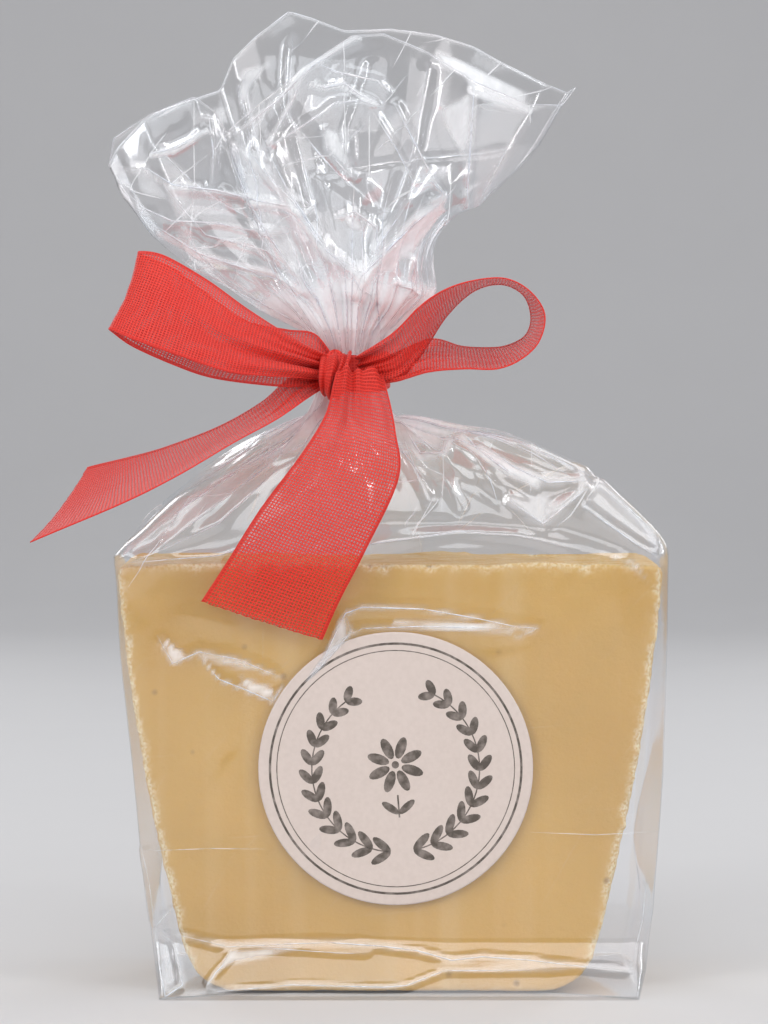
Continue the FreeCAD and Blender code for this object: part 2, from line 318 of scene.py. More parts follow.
def filmMaterial():
    material, nodes, shader = newMaterial("clearFilm")
    place = nodes.objectSpace()
    lines = nodes.math("MULTIPLY", crumpleLines(nodes, place), nodes.attribute("crumple"))
    steep = nodes.math("POWER", nodes.add("ShaderNodeLayerWeight", Blend=0.5).outputs["Facing"], 4.0)
    gloss = nodes.math("ADD", nodes.math("MULTIPLY", steep, filmFinish["grazing"]), filmFinish["faceOn"])
    streak = nodes.noise(place, 260, 3.0, 0.55, stretch=(1.6, 1.0, 0.5))
    patchy = nodes.mapRange(streak, 0.32, 0.62, 0.72, 1.0)
    # the haze is partly real creasing and bunching, partly painted highlights and reflections of the lamps
    milkyAndGlint = nodes.math("MULTIPLY", nodes.attribute("hazeAndGlint"), patchy, clamp=True)
    # the crumple lines whiten the film: painted highlight along the folds, partly crease whitening
    milkyAndGlint = nodes.math("MAXIMUM", milkyAndGlint, nodes.math("MULTIPLY", lines, 0.5))
    cover = nodes.math("MULTIPLY", milkyAndGlint, filmFinish["hazeAndGlintOpacity"])
    alpha = nodes.math("ADD", gloss, cover, clamp=True)
    shadow = nodes.add("ShaderNodeLightPath").outputs["Is Shadow Ray"]
    held = nodes.mapRange(shadow, 0.0, 1.0, 1.0, filmFinish["shade"])
    sheen = nodes.noise(place, 90, 2.0, 0.5)
    hue = nodes.mixColor(nodes.mapRange(sheen, 0.4, 0.6), filmFinish["cool"], filmFinish["warm"])
    nodes.feed(shader, {
        "Alpha": nodes.math("MULTIPLY", alpha, held),
        "Metallic": nodes.mapRange(milkyAndGlint, 0.03, 0.28, 1.0, 0.0),
        "Roughness": nodes.mapRange(milkyAndGlint, 0.0, 1.0, filmFinish["roughness"], filmFinish["hazeAndGlintRoughness"]),
        "Base Color": nodes.mixColor(nodes.mapRange(milkyAndGlint, 0.0, 0.4, 0.6, 0.05), filmFinish["tint"], hue),
        "Normal": nodes.bump(nodes.noise(place, 260, 3.0, 0.5), 0.5, filmFinish["crinkle"]),
    })
    return material


# whitish mottled threads: painted highlights along the folds, partly crease whitening
def foldWhiteningAndGlintMaterial():
    material, nodes, shader = newMaterial("filmFoldWhiteningAndGlint")
    place = nodes.objectSpace()
    nodes.feed(shader, {
        "Alpha": nodes.mapRange(nodes.noise(place, 420, 2.0, 0.5), 0.36, 0.62, 0.15, 0.95),
        "Base Color": nodes.mottle(place, 150, 3, (0.3, 0.7), (0, 1), (0.86, 0.92, 1, 1), (1, 0.97, 0.98, 1)),
        "Roughness": 0.18,
    })
    return material


# Film geometry

film = {
    "wall": 0.09,
    "bodyTop": 64.2,
    "front": 12.75, "back": 12.7,
    "corner": 1.6,
    "baseDepth": 16.2,
    "rise": 8.0,
    "gussetRise": 21.0, "gussetTuck": 2.6, "gussetReach": 12,
    "neckAcross": -6.0,
    "lowCollar": 85.6, "tie": 91.0, "highCollar": 96.8,
    "collarRadius": 7.3, "neckRadius": 4.6, "neckCurve": 1.7,
    "shoulderHalf": 46, "flareHalf": 34,        # from the neck's middle to the side's far end
    "frontColumns": 132, "backColumns": 78, "sideColumns": 24, "cornerColumns": 5,
    "bodyRows": 92, "footRows": 14, "shoulderRows": 62, "neckRows": 12, "flareRows": 112,
    "pleats": [(11, 5), (21, 8), (38, 12)],     # count and seed of the broad, middle and fine ones
    "creaseReach": 7.0,                         # how far off a crease still finds its own layer of film
    "bodyFacets": 0.55, "flareFacets": 0.60,    # how far the crumpled facets stand out
    "footHaze": 0.02,
    "seam": (1.0, 4.0),                         # middle and half width of the strip down the back
}

# How wide the bag stands at each height: left, right
bodySides = [
    (0.0, -33.6, 36.2), (4.0, -34.2, 37.4), (12.5, -35.6, 38.6), (21.0, -36.6, 39.2),
    (32.0, -37.6, 39.9), (50.0, -39.4, 40.4), (64.2, -40.3, 40.6),
]

# The open mouth's rim, from the left side by the front to the right side and back
rim = [
    (-41.6, -3, 121.1), (-40.5, -7, 124.9), (-34.3, -11, 128.4), (-28.2, -13, 130.4),
    (-25.5, -11, 128.7), (-23.8, -8, 125.8), (-18.5, -13, 129.8), (-11.5, -17, 134.7),
    (-5.4, -18.5, 138.5), (-1.0, -18, 138.9), (5.4, -16.5, 136.4), (12.0, -14.5, 132.5),
    (16.0, -13, 131.0), (20.0, -11, 129.5), (25.1, -6, 129.9), (27.7, 0, 133.0),
    (26.6, 3, 132.5), (23.7, 6, 134.0), (17.5, 9, 137.5), (12.8, 11, 140.4),
    (6.9, 13, 142.4), (0.3, 14, 143.4), (-6.9, 15, 143.3), (-11.8, 15, 145.1),
    (-15.5, 14.5, 146.1), (-20.2, 13, 142.4), (-23.8, 11, 138.7), (-25.7, 8.5, 133.5),
    (-30.4, 8, 131.9), (-33.6, 7, 130.7), (-37.1, 5.5, 128.8), (-40.9, 1.5, 124.0),
]


# Points of one ring round the bag, from the front's left end, seen from above
def bodyOutline(left, right, front, back, corner, tuck):
    points = []

    def arc(cx, cy, start):
        for i in range(film["cornerColumns"]):
            a = start + math.pi / 2 * (i + 0.5) / film["cornerColumns"]
            points.append((cx + corner * math.cos(a), cy + corner * math.sin(a)))

    def run(a, b, count, pull=0.0):
        for i in range(count):
            s = (i + 0.5) / count
            x = a[0] + (b[0] - a[0]) * s
            y = a[1] + (b[1] - a[1]) * s
            points.append((x + pull * (1 - abs(2 * s - 1)), y))

    run((left + corner, -front), (right - corner, -front), film["frontColumns"])
    arc(right - corner, -front + corner, -math.pi / 2)
    run((right, -front + corner), (right, back - corner), film["sideColumns"], -tuck)
    arc(right - corner, back - corner, 0)
    run((right - corner, back), (left + corner, back), film["backColumns"])
    arc(left + corner, back - corner, math.pi / 2)
    run((left, back - corner), (left, -front + corner), film["sideColumns"], tuck)
    arc(left + corner, -front + corner, math.pi)
    return np.array(points)


columns = 2 * film["sideColumns"] + film["frontColumns"] + film["backColumns"] + 4 * film["cornerColumns"]


# Each column's angle round the neck, spread by its share of the way round
def turnOf(outline):
    step = np.linalg.norm(np.roll(outline, -1, axis=0) - outline, axis=1)
    share = np.concatenate([[0], np.cumsum(step)[:-1]]) / step.sum()
    frontShare = share[film["frontColumns"] // 2]
    return -math.pi / 2 + 2 * math.pi * (share - frontShare)


def ringAt(angles, radius, height):
    x = film["neckAcross"] + radius * np.cos(angles)
    y = radius * np.sin(angles)
    return np.stack([x, y, np.full_like(x, height)], axis=1)


# Outward direction at each point of a closed-round grid of rows and columns
def surfaceNormals(grid):
    around = np.roll(grid, -1, axis=1) - np.roll(grid, 1, axis=1)
    up = np.gradient(grid, axis=0)
    normal = np.cross(around, up)
    length = np.linalg.norm(normal, axis=2, keepdims=True)
    return normal / np.maximum(length, 1e-9)


# Sharp folds of uneven width and depth: 0 on a crest, up to 1 in a valley
def pleatProfile(count, seed, least=0.35):
    local = np.random.default_rng(seed)
    gaps = local.uniform(least, 1.0, 2 * count)
    places = np.cumsum(gaps) / gaps.sum() * columns
    heights = np.empty(2 * count)
    heights[0::2] = local.uniform(0.0, 0.35, count)
    heights[1::2] = local.uniform(0.6, 1.0, count)
    at = np.arange(columns) + 0.5
    xs = np.concatenate([[places[-1] - columns], places, [places[0] + columns]])
    ys = np.concatenate([[heights[-1]], heights, [heights[0]]])
    crests = [int(p) % columns for p in places[0::2]]
    return np.interp(at, xs, ys), crests


# Flat facets with sharp edges, from the crossing sets of crumple planes
def facetField(grid, height):
    push = np.zeros(grid.shape[:2])
    for direction, spacing, start, share in crumples:
        turns = grid @ direction / spacing + start
        push += share * (np.abs(turns % 1 - 0.5) * 2 - 0.5) * spacing / 16
    return height * push


# Sharp tent folds on a grid, each with a middle, a run and a facing direction
def creaseField(grid, normals, creases):
    push = np.zeros(grid.shape[:2])
    for c in creases:
        half = np.linalg.norm(c["run"]) / 2
        run = c["run"] / (2 * half)
        across = unitVector(np.cross(c["face"], run))
        offset = grid - c["middle"]
        bowed = 1 - (offset @ run / half) ** 2
        fade = unit(bowed)
        away = np.abs(offset @ across - c["bow"] * bowed)
        tent = unit(1 - away / (c["width"] * (0.35 + 0.65 * fade)))
        near = np.abs(offset @ c["face"]) < film["creaseReach"]
        push += c["lift"] * tent * fade * near * ((normals @ c["face"]) > 0.1)
    return push


# Folds at random places. along leans their run towards the grid's rows, 0 to 1
def randomCreases(grid, normals, rows, count, seed, lengths, lifts, widths, along):
    local = np.random.default_rng(seed)
    made = []
    for _ in range(count):
        r = int(local.integers(rows[0], rows[1]))
        col = int(local.integers(0, columns))
        middle, face = grid[r, col], normals[r, col]
        up = grid[min(r + 1, len(grid) - 1), col] - grid[max(r - 1, 0), col]
        up = unitVector(up - face * (up @ face))
        side = np.cross(face, up)
        a = local.uniform(-1, 1) * (1 - along) * math.pi / 2
        run = up * math.cos(a) + side * math.sin(a)
        length = local.uniform(*lengths)
        lift = local.uniform(*lifts) * (1 if local.random() < 0.7 else -1)
        made.append({
            "middle": middle, "run": run * length, "face": face,
            "width": local.uniform(*widths), "lift": lift,
            "bow": local.uniform(-0.08, 0.08) * length,
        })
    return made


# Nearest distance to a run of straight folds, and how far along it that is
def toSegments(points, first, second):
    corners = np.array(points, float)
    steps = np.linalg.norm(np.diff(corners, axis=0), axis=1)
    starts = np.concatenate([[0], np.cumsum(steps)])
    best = np.full(first.shape, 1e9)
    along = np.zeros(first.shape)
    for (ax, az), (bx, bz), step, start in zip(corners[:-1], corners[1:], steps, starts):
        dx, dz = (bx - ax) / step, (bz - az) / step
        t = np.clip((first - ax) * dx + (second - az) * dz, 0, step)
        far = np.hypot(first - ax - t * dx, second - az - t * dz)
        closer = far < best
        best = np.where(closer, far, best)
        along = np.where(closer, start + t, along)
    return best, along / starts[-1]


def facing(normals, grid, side):
    if side == "front":
        return (normals[:, :, 1] < -0.05) & (grid[:, :, 1] < 0.5)
    return (normals[:, :, 1] > 0.05) & (grid[:, :, 1] > -0.5)


# Straight-sided folds along runs of points across and up, and the film's whitening there: partly crease whitening,
# partly painted highlight along the crest
def ridgeField(grid, normals, folds, side="front"):
    push, milkAndGlint = np.zeros(grid.shape[:2]), np.zeros(grid.shape[:2])
    sees = facing(normals, grid, side)
    for points, lift, width, whiteAndGlint in folds:
        far, along = toSegments(points, grid[:, :, 0], grid[:, :, 2])
        fade = smoothStep(along / 0.08) * smoothStep((1 - along) / 0.08)
        push += lift * unit(1 - far / width) * fade * sees
        # painted highlight along the crest, partly crease whitening
        milkAndGlint += whiteAndGlint * unit(1 - far / (width * 0.55)) * fade * sees
    return push, milkAndGlint


# Painted reflections: milky facets where the film reflects the lamps, polygons across and up, whitest along their
# first side
def paintedReflectionField(grid, normals, paintedPatches, side="front"):
    milkAndGlint = np.zeros(grid.shape[:2])
    sees = facing(normals, grid, side)
    x, z = grid[:, :, 0], grid[:, :, 2]
    for level, corners in paintedPatches:
        inside = np.zeros(x.shape, bool)
        loop = list(corners) + [corners[0]]
        for (ax, az), (bx, bz) in zip(loop[:-1], loop[1:]):
            if az != bz:
                inside ^= ((az > z) != (bz > z)) & (x < (bx - ax) * (z - az) / (bz - az) + ax)
        edge, _ = toSegments(loop, x, z)
        first, _ = toSegments(loop[:2], x, z)
        reach = max(float((first * inside).max()), 0.1)
        shade = 1 - 0.6 * unit(first / reach)
        # painted reflection, brightest along the first side
        milkAndGlint = np.maximum(milkAndGlint, level * shade * smoothStep(edge / 1.1) * inside * sees)
    return milkAndGlint


# A tube of film from a grid, given its wall by Solidify
def filmTube(name, grid, hazeAndGlint, crumple, material, capFoot=False):
    points = grid.reshape(-1, 3)
    faces = gridFaces(len(grid), columns, True)
    layers = {"hazeAndGlint": hazeAndGlint.reshape(-1), "crumple": np.broadcast_to(crumple, grid.shape[:2]).reshape(-1)}
    if capFoot:
        last = len(points)
        points = np.vstack([points, grid[0].mean(axis=0)])
        faces += [(last, (c + 1) % columns, c) for c in range(columns)]
        layers = {key: np.append(values, film["footHaze"]) for key, values in layers.items()}
    piece = newPiece(name, points, faces, material)
    for key, values in layers.items():
        addLayer(piece.data, key, values)
    applyModifier(piece, "SOLIDIFY", thickness=mm(film["wall"]), offset=-1, use_even_offset=False)
    return piece


def bodyGrid():
    heights = np.concatenate([
        np.linspace(0, film["rise"], film["footRows"], endpoint=False),
        np.linspace(film["rise"], film["bodyTop"], film["bodyRows"] - film["footRows"]),
    ])
    sides = np.array(bodySides)
    rings = []
    for z in heights:
        left = np.interp(z, sides[:, 0], sides[:, 1])
        right = np.interp(z, sides[:, 0], sides[:, 2])
        foot = float(unit(1 - z / film["rise"]))
        spread = (film["baseDepth"] - film["front"]) * foot
        tuck = film["gussetTuck"] * math.exp(-((z - film["gussetRise"]) / film["gussetReach"]) ** 2)
        if z < film["gussetRise"]:
            tuck *= z / film["gussetRise"]
        corner = film["corner"] * (0.5 + 0.5 * min(1, z / 6))
        outline = bodyOutline(left, right, film["front"] + spread, film["back"] + spread, corner, tuck)
        rings.append(np.column_stack([outline, np.full(len(outline), z)]))
    top = rings[-1]
    angles = turnOf(top[:, :2])
    collar = ringAt(angles, film["collarRadius"], film["lowCollar"])
    for i in range(1, film["shoulderRows"] + 1):
        t = i / film["shoulderRows"]
        ring = top + (collar - top) * t
        swell = (4 * t * (1 - t)) ** 0.8
        toSide = (top[:, 0] - film["neckAcross"]) / film["shoulderHalf"]
        rightSide, leftSide = unit(toSide), unit(-toSide)
        behind = unit(0.5 + top[:, 1] / 12)
        ring[:, 2] += swell * (4.4 * rightSide ** 2 + (0.6 + 2.8 * behind) * leftSide)
        ring[:, 0] += swell * (3.2 * rightSide ** 2 - (0.4 + 0.8 * behind) * leftSide ** 2)
        ring[:, 1] += np.sign(top[:, 1]) * swell * 0.8 * (1 - np.abs(toSide))
        rings.append(ring)
    for t in np.linspace(0, 1, film["neckRows"] + 1)[1:]:
        height = film["lowCollar"] + (film["tie"] - film["lowCollar"]) * t
        radius = film["neckRadius"] + (film["collarRadius"] - film["neckRadius"]) * (1 - t) ** film["neckCurve"]
        rings.append(ringAt(angles, radius, height))
    return np.array(rings), angles


def flareGrid(angles):
    rings = []
    for t in np.linspace(0, 1, film["neckRows"] + 1):
        height = film["tie"] + (film["highCollar"] - film["tie"]) * t
        radius = film["neckRadius"] + (film["collarRadius"] - film["neckRadius"]) * t ** film["neckCurve"]
        rings.append(ringAt(angles, radius, height))
    collar = rings[-1]
    peaks = np.array(rim)
    place = (angles / (2 * math.pi) + 0.5) * len(peaks)
    whole = np.floor(place).astype(int)
    part = (place - whole)[:, None]
    edge = peaks[whole % len(peaks)] * (1 - part) + peaks[(whole + 1) % len(peaks)] * part
    for i in range(1, film["flareRows"] + 1):
        t = i / film["flareRows"]
        ring = collar + (edge - collar) * t
        toSide = (edge[:, 0] - film["neckAcross"]) / film["flareHalf"]
        leftSide, rightSide = unit(-toSide), unit(toSide)
        belly = 4 * t * (1 - t)
        ring[:, 0] -= belly * 2.6 * leftSide
        ring[:, 2] -= belly * 2.6 * leftSide ** 2
        ring[:, 1] += np.sign(edge[:, 1]) * belly * 2.0 * (1 - np.abs(toSide)).clip(0, 1)
        pinch = math.exp(-((t - 0.42) / 0.16) ** 2)
        low = math.exp(-((t - 0.14) / 0.10) ** 2)
        ring[:, 0] += rightSide ** 2 * (2.6 * low - 3.4 * pinch)
        rings.append(ring)
    return np.array(rings)


# Folds seen on the front: points across and up, lift, half width, whiteness (crease whitening with painted highlight)

shoulderFolds = [
    ([(-39.6, 63.6), (-29.4, 71.8), (-22.1, 76.6), (-15.3, 80.6), (-9.7, 86.5)], 0.8, 1.9, 0.25),
    ([(-33.9, 65.1), (-26.6, 70.7), (-19.2, 76.3), (-13.0, 81.4)], 0.5, 1.3, 0.2),
    ([(-39.0, 62.8), (-32.2, 65.6), (-24.9, 69.0), (-17.0, 76.3), (-11.9, 79.7)], 0.5, 1.4, 0.1),
    ([(-37.8, 63.4), (-24.9, 64.4), (-16.4, 67.3)], 0.4, 1.2, 0.1),
    ([(-16.4, 64.0), (-4.0, 65.9), (10.1, 67.9), (18.5, 67.3), (28.1, 65.0)], 0.5, 1.5, 0.1),
    ([(-14.0, 65.4), (0.0, 69.4), (12.0, 69.0), (26.0, 68.2)], -0.4, 1.4, 0.0),
    ([(1.1, 84.8), (3.3, 80.8), (4.4, 79.1), (7.8, 79.1), (9.5, 83.1)], 0.8, 1.5, 0.3),
    ([(9.5, 83.1), (12.9, 79.7), (17.4, 76.3), (22.2, 73.8)], 0.9, 1.6, 0.5),
    ([(9.5, 83.1), (18.5, 80.9), (25.3, 77.7), (29.8, 75.6)], 0.6, 1.4, 0.1),
    ([(12.3, 81.4), (18.0, 77.2), (23.0, 74.9), (29.3, 75.2)], 0.8, 1.4, 0.4),
    ([(16.3, 73.0), (22.2, 69.0), (29.8, 75.0)], 0.8, 1.7, 0.3),
    ([(29.8, 75.4), (31.5, 74.0), (38.8, 67.4), (40.2, 64.4)], 0.5, 1.2, 0.2),
    ([(27.6, 71.8), (31.5, 69.0), (35.5, 66.2), (39.4, 63.9)], 0.6, 1.4, 0.2),
    ([(3.9, 78.6), (10.1, 75.8), (17.4, 71.3), (27.0, 67.9), (35.5, 65.0)], -0.6, 1.8, 0.0),
    ([(1.6, 82.3), (4.0, 76.0), (6.1, 71.3)], 0.5, 1.4, 0.1),
    ([(-3.4, 83.0), (-2.0, 76.0), (-2.4, 69.0)], -0.5, 1.6, 0.0),
    ([(6.0, 81.0), (10.6, 70.0)], -0.5, 1.4, 0.0),
]
faceFolds = [
    ([(-33.9, 52.9), (-31.6, 48.7), (-27.7, 50.4), (-22.1, 49.3), (-15.3, 46.4)], 0.3, 1.0, 0.3),
    ([(-27.7, 49.8), (-24.9, 46.4), (-20.9, 44.8), (-17.0, 43.1), (-15.3, 46.2)], 0.25, 0.8, 0.3),
    ([(-13.0, 45.3), (-9.7, 49.3), (-6.5, 56.0), (-4.0, 56.9), (5.0, 56.6), (12.9, 55.2), (18.0, 54.1),
      (21.4, 53.8), (18.3, 52.4), (17.4, 53.8)], 0.25, 0.9, 0.3),
    ([(17.4, 53.8), (4.4, 54.1), (-4.0, 53.8), (-7.4, 52.1), (-9.7, 49.3)], 0.22, 0.8, 0.2),
    ([(-6.5, 55.8), (-5.6, 53.4), (-9.0, 49.4), (-14.0, 44.0)], 0.22, 0.8, 0.2),
    ([(-36.5, 21.2), (-26.0, 21.6), (-17.0, 21.5)], 0.12, 0.7, 0.0),
    ([(20.4, 24.0), (30.0, 23.6), (39.4, 24.1)], 0.12, 0.7, 0.0),
    ([(24.8, 60.8), (25.2, 44.0), (24.8, 26.0)], 0.06, 0.6, 0.0),
    ([(-26.6, 60.0), (-26.4, 44.0), (-26.8, 24.0)], 0.06, 0.6, 0.0),
]
footFolds = [
    ([(-34.5, 10.1), (-30.1, 8.7), (-23.7, 7.2), (-16.0, 7.6), (-8.8, 7.8), (-1.0, 7.3), (4.0, 6.7), (9.0, 5.4),
      (13.4, 5.9), (20.6, 5.4), (27.8, 4.6), (35.0, 4.0), (37.0, 0.4)], 0.28, 1.3, 0.22),
    ([(-26.9, 1.6), (-25.4, 3.7), (-22.6, 6.5)], 0.3, 1.1, 0.2),
    ([(-32.6, 0.4), (-23.7, 1.3), (-14.3, 2.1), (-1.0, 1.8), (2.3, 2.0), (7.9, 4.0), (20.6, 4.1), (27.8, 4.3)],
     0.25, 1.0, 0.2),
    ([(-34.5, 10.1), (-33.4, 4.0), (-32.6, 0.5), (-30.1, 2.1), (-31.5, 7.6), (-34.4, 9.9)], 0.3, 1.0, 0.2),
    ([(-20.0, 7.2), (-8.0, 6.4), (-2.0, 6.2)], 0.2, 0.9, 0.05),
    ([(-36.4, 22.0), (-35.2, 17.0), (-34.4, 10.2)], 0.3, 1.2, 0.05),
    ([(-34.4, 10.0), (-32.4, 12.2), (-31.0, 12.6)], 0.25, 0.9, 0.1),
    ([(37.4, 17.0), (36.8, 11.0), (35.2, 4.2)], 0.25, 1.2, 0.0),
]
flareFolds = [
    ([(-22.5, 125.3), (-16.2, 129.7), (-11.1, 134.3), (-3.7, 138.8)], 0.7, 1.4, 0.35),
    ([(-11.6, 134.8), (-13.9, 129.7), (-17.8, 123.0)], 1.0, 1.5, 0.35),
    ([(-17.8, 123.0), (-13.4, 125.5), (-9.7, 127.6), (-7.9, 129.0), (-4.2, 129.4), (-1.4, 128.5)], 0.8, 1.2, 0.25),
    ([(-11.1, 135.0), (-7.4, 133.4), (-3.7, 132.5), (-1.9, 132.2), (0.0, 130.1)], 0.7, 1.1, 0.2),
    ([(-12.1, 132.2), (-9.3, 131.3), (-6.5, 131.8), (-4.2, 130.1), (-1.4, 128.8)], 0.6, 0.9, 0.6),
    ([(-23.6, 125.1), (-22.7, 120.9), (-20.4, 115.4), (-17.6, 110.7), (-13.9, 105.2), (-11.6, 100.6)], 1.0, 1.6, 0.2),
    ([(-17.8, 123.0), (-14.8, 117.2), (-11.1, 111.7), (-8.4, 108.0), (-4.2, 104.7)], 1.0, 1.5, 0.3),
    ([(-21.8, 124.6), (-17.6, 119.1), (-13.9, 115.4), (-10.2, 109.8), (-6.5, 103.3)], 0.7, 1.2, 0.15),
    ([(-40.2, 120.0), (-38.6, 117.2), (-36.0, 114.9), (-31.9, 113.0), (-25.0, 112.6), (-21.3, 111.7), (-14.8, 111.2)],
     0.8, 1.4, 0.2),
    ([(-40.0, 120.9), (-35.2, 120.4), (-31.5, 118.1), (-25.0, 117.2), (-18.5, 115.6), (-11.6, 114.2), (-9.3, 114.7)],
     0.9, 1.3, 0.35),
    ([(-35.0, 112.8), (-28.2, 108.4), (-21.3, 106.1), (-15.8, 104.3), (-12.0, 101.6)], 1.0, 1.4, 0.45),
    ([(-30.1, 112.6), (-28.2, 108.4), (-24.1, 104.3), (-20.0, 101.5)], 0.7, 1.2, 0.15),
    ([(-33.0, 118.0), (-27.0, 111.0), (-18.0, 108.6), (-11.0, 103.0)], 0.7, 1.2, 0.1),
    ([(12.0, 132.0), (11.7, 126.4), (11.3, 119.1), (11.1, 113.6)], 1.1, 1.5, 0.3),
    ([(20.5, 129.3), (16.6, 122.7), (12.2, 114.4)], 0.7, 1.0, 0.1),
    ([(24.6, 127.6), (18.0, 118.8), (12.4, 113.8)], 0.7, 1.1, 0.1),
    ([(6.7, 129.2), (7.8, 124.1), (10.1, 119.1), (11.1, 116.3)], -0.8, 1.3, 0.0),
    ([(0.0, 130.1), (2.7, 125.1), (5.0, 120.9), (7.8, 116.3)], 0.9, 1.3, 0.15),
    ([(-2.8, 128.3), (0.9, 122.7), (3.2, 118.6), (2.7, 114.3)], 0.7, 1.2, 0.1),
    ([(9.0, 116.8), (3.7, 112.6), (-1.0, 108.0), (-4.2, 104.7), (-5.5, 100.6)], 1.4, 2.2, 0.5),
    ([(3.2, 116.3), (-1.9, 108.9), (-4.2, 103.3)], 0.7, 1.1, 0.15),
    ([(3.7, 117.7), (6.0, 118.4), (7.8, 116.7), (5.5, 115.4)], 0.6, 0.9, 0.25),
    ([(0.4, 103.8), (3.2, 103.1), (5.0, 101.5)], 0.6, 0.9, 0.4),
    ([(3.2, 108.0), (4.2, 104.7), (3.4, 101.0)], 0.6, 0.9, 0.2),
    ([(-8.4, 113.0), (-5.1, 114.0), (-1.9, 111.7), (-2.8, 108.0)], 0.7, 1.1, 0.3),
    ([(-9.7, 126.7), (-9.0, 122.6), (-6.5, 119.7), (-4.2, 118.4)], 0.8, 1.2, 0.2),
    ([(-35.2, 122.5), (-31.0, 123.2), (-28.2, 124.6), (-26.2, 126.0)], 0.7, 1.2, 0.6),
    ([(-26.2, 128.4), (-25.5, 122.7), (-25.7, 117.7)], 0.7, 1.0, 0.15),
]
backFolds = [
    ([(-13.0, 120.9), (-1.9, 122.7), (5.0, 123.4), (14.3, 123.9), (20.0, 125.0)], 0.5, 1.0, 0.0),
    ([(-14.8, 143.4), (-15.6, 132.0), (-12.0, 118.0), (-8.0, 105.0)], 0.9, 1.6, 0.1),
    ([(-22.4, 136.0), (-20.0, 124.0), (-13.0, 110.0)], 0.9, 1.5, 0.2),
    ([(6.0, 139.0), (4.0, 126.0), (-1.0, 112.0)], 0.9, 1.6, 0.1),
    ([(-2.0, 140.0), (-6.0, 128.0), (-5.0, 112.0)], -0.8, 1.6, 0.0),
]

# Painted reflections: milky facets seen on the front where the film reflects the lamps, each whitest along its first
# side
bodyPaintedReflections = [
    (0.60, [(12.3, 81.4), (18.0, 77.4), (23.0, 75.1), (21.9, 73.8), (16.9, 76.3), (12.9, 79.4)]),
    (0.30, [(22.2, 69.0), (29.8, 75.1), (24.2, 72.9), (18.5, 74.1), (16.3, 73.0)]),
    (0.28, [(29.8, 75.6), (38.8, 68.0), (39.6, 64.4), (31.5, 69.4), (27.6, 72.0)]),
    (0.75, [(29.3, 65.1), (32.1, 65.1), (36.0, 63.6), (38.3, 60.0), (36.6, 60.5), (34.3, 63.0)]),
    (1.00, [(-33.6, 53.8), (-31.0, 51.2), (-29.0, 50.2), (-30.4, 48.6), (-32.0, 48.4)]),
    (0.80, [(-22.8, 47.4), (-16.6, 45.2), (-16.6, 42.9), (-21.0, 44.4)]),
    (0.50, [(-29.0, 50.6), (-22.1, 49.5), (-16.0, 46.8), (-22.0, 47.6), (-27.6, 49.0)]),
    (0.60, [(-7.4, 56.2), (-5.6, 53.8), (-7.0, 50.6), (-10.0, 49.0)]),
    (0.80, [(0.0, 55.2), (10.7, 55.0), (18.4, 54.0), (18.4, 52.6), (7.3, 53.4), (0.0, 54.0)]),
    (0.22, [(-39.0, 63.6), (-29.4, 71.6), (-22.1, 76.4), (-20.5, 75.4), (-31.0, 66.8)]),
    (0.30, [(1.1, 84.8), (3.4, 80.8), (7.8, 79.3), (9.3, 83.0), (6.0, 84.6)]),
    (0.45, [(-33.8, 9.4), (-32.8, 1.6), (-30.4, 2.4), (-31.9, 6.8)]),
    (0.55, [(-23.7, 6.9), (-15.8, 7.4), (-9.0, 7.6), (-16.0, 5.9), (-22.5, 4.6), (-26.0, 3.0)]),
    (0.22, [(9.2, 5.2), (19.0, 5.5), (29.3, 4.3), (27.3, 3.6), (14.0, 4.2)]),
    (0.25, [(-31.0, 1.2), (-19.8, 1.9), (-9.3, 2.4), (-12.0, 1.4), (-30.0, 0.8)]),
]
flarePaintedReflections = [
    (0.30, [(-23.6, 125.1), (-20.4, 115.6), (-13.9, 105.2), (-8.4, 108.0), (-14.8, 117.4), (-18.0, 123.0)]),
    (0.75, [(-9.7, 126.7), (-7.0, 125.1), (-4.2, 118.4), (-6.5, 119.7), (-9.3, 123.2)]),
    (0.60, [(11.8, 132.0), (11.5, 125.5), (11.1, 119.0), (9.6, 122.7), (7.3, 126.4), (6.7, 129.0), (9.6, 130.2)]),
    (0.95, [(9.4, 113.6), (7.5, 115.6), (3.7, 113.2), (0.9, 109.8), (-3.3, 106.6), (-2.8, 104.8), (1.0, 105.0),
            (5.5, 109.4)]),
    (0.80, [(-35.2, 122.4), (-31.0, 123.4), (-28.2, 124.8), (-26.2, 126.2), (-27.8, 124.0), (-31.0, 122.2)]),
    (0.75, [(-8.0, 113.6), (-4.6, 113.6), (-2.8, 110.8), (-5.6, 110.9)]),
    (0.35, [(-32.9, 119.0), (-25.4, 117.2), (-21.3, 113.0), (-31.5, 113.0)]),
    (0.50, [(-21.3, 106.5), (-15.8, 104.6), (-12.6, 101.8), (-16.4, 103.0), (-22.0, 105.4)]),
    (0.22, [(11.5, 113.4), (12.1, 123.2), (22.1, 125.2), (16.6, 117.4)]),
    (0.20, [(-1.9, 128.0), (0.0, 130.1), (7.8, 116.6), (3.2, 117.6)]),
    (0.45, [(12.0, 132.4), (20.5, 129.6), (24.0, 130.0), (20.0, 127.6), (14.0, 130.0)]),
    (0.65, [(-12.1, 132.4), (-9.3, 132.2), (-6.5, 132.3), (-1.6, 128.9), (-4.2, 129.7), (-7.0, 130.9)]),
    (0.25, [(-22.5, 125.3), (-3.7, 139.4), (-5.6, 139.4), (-18.0, 130.4)]),
]

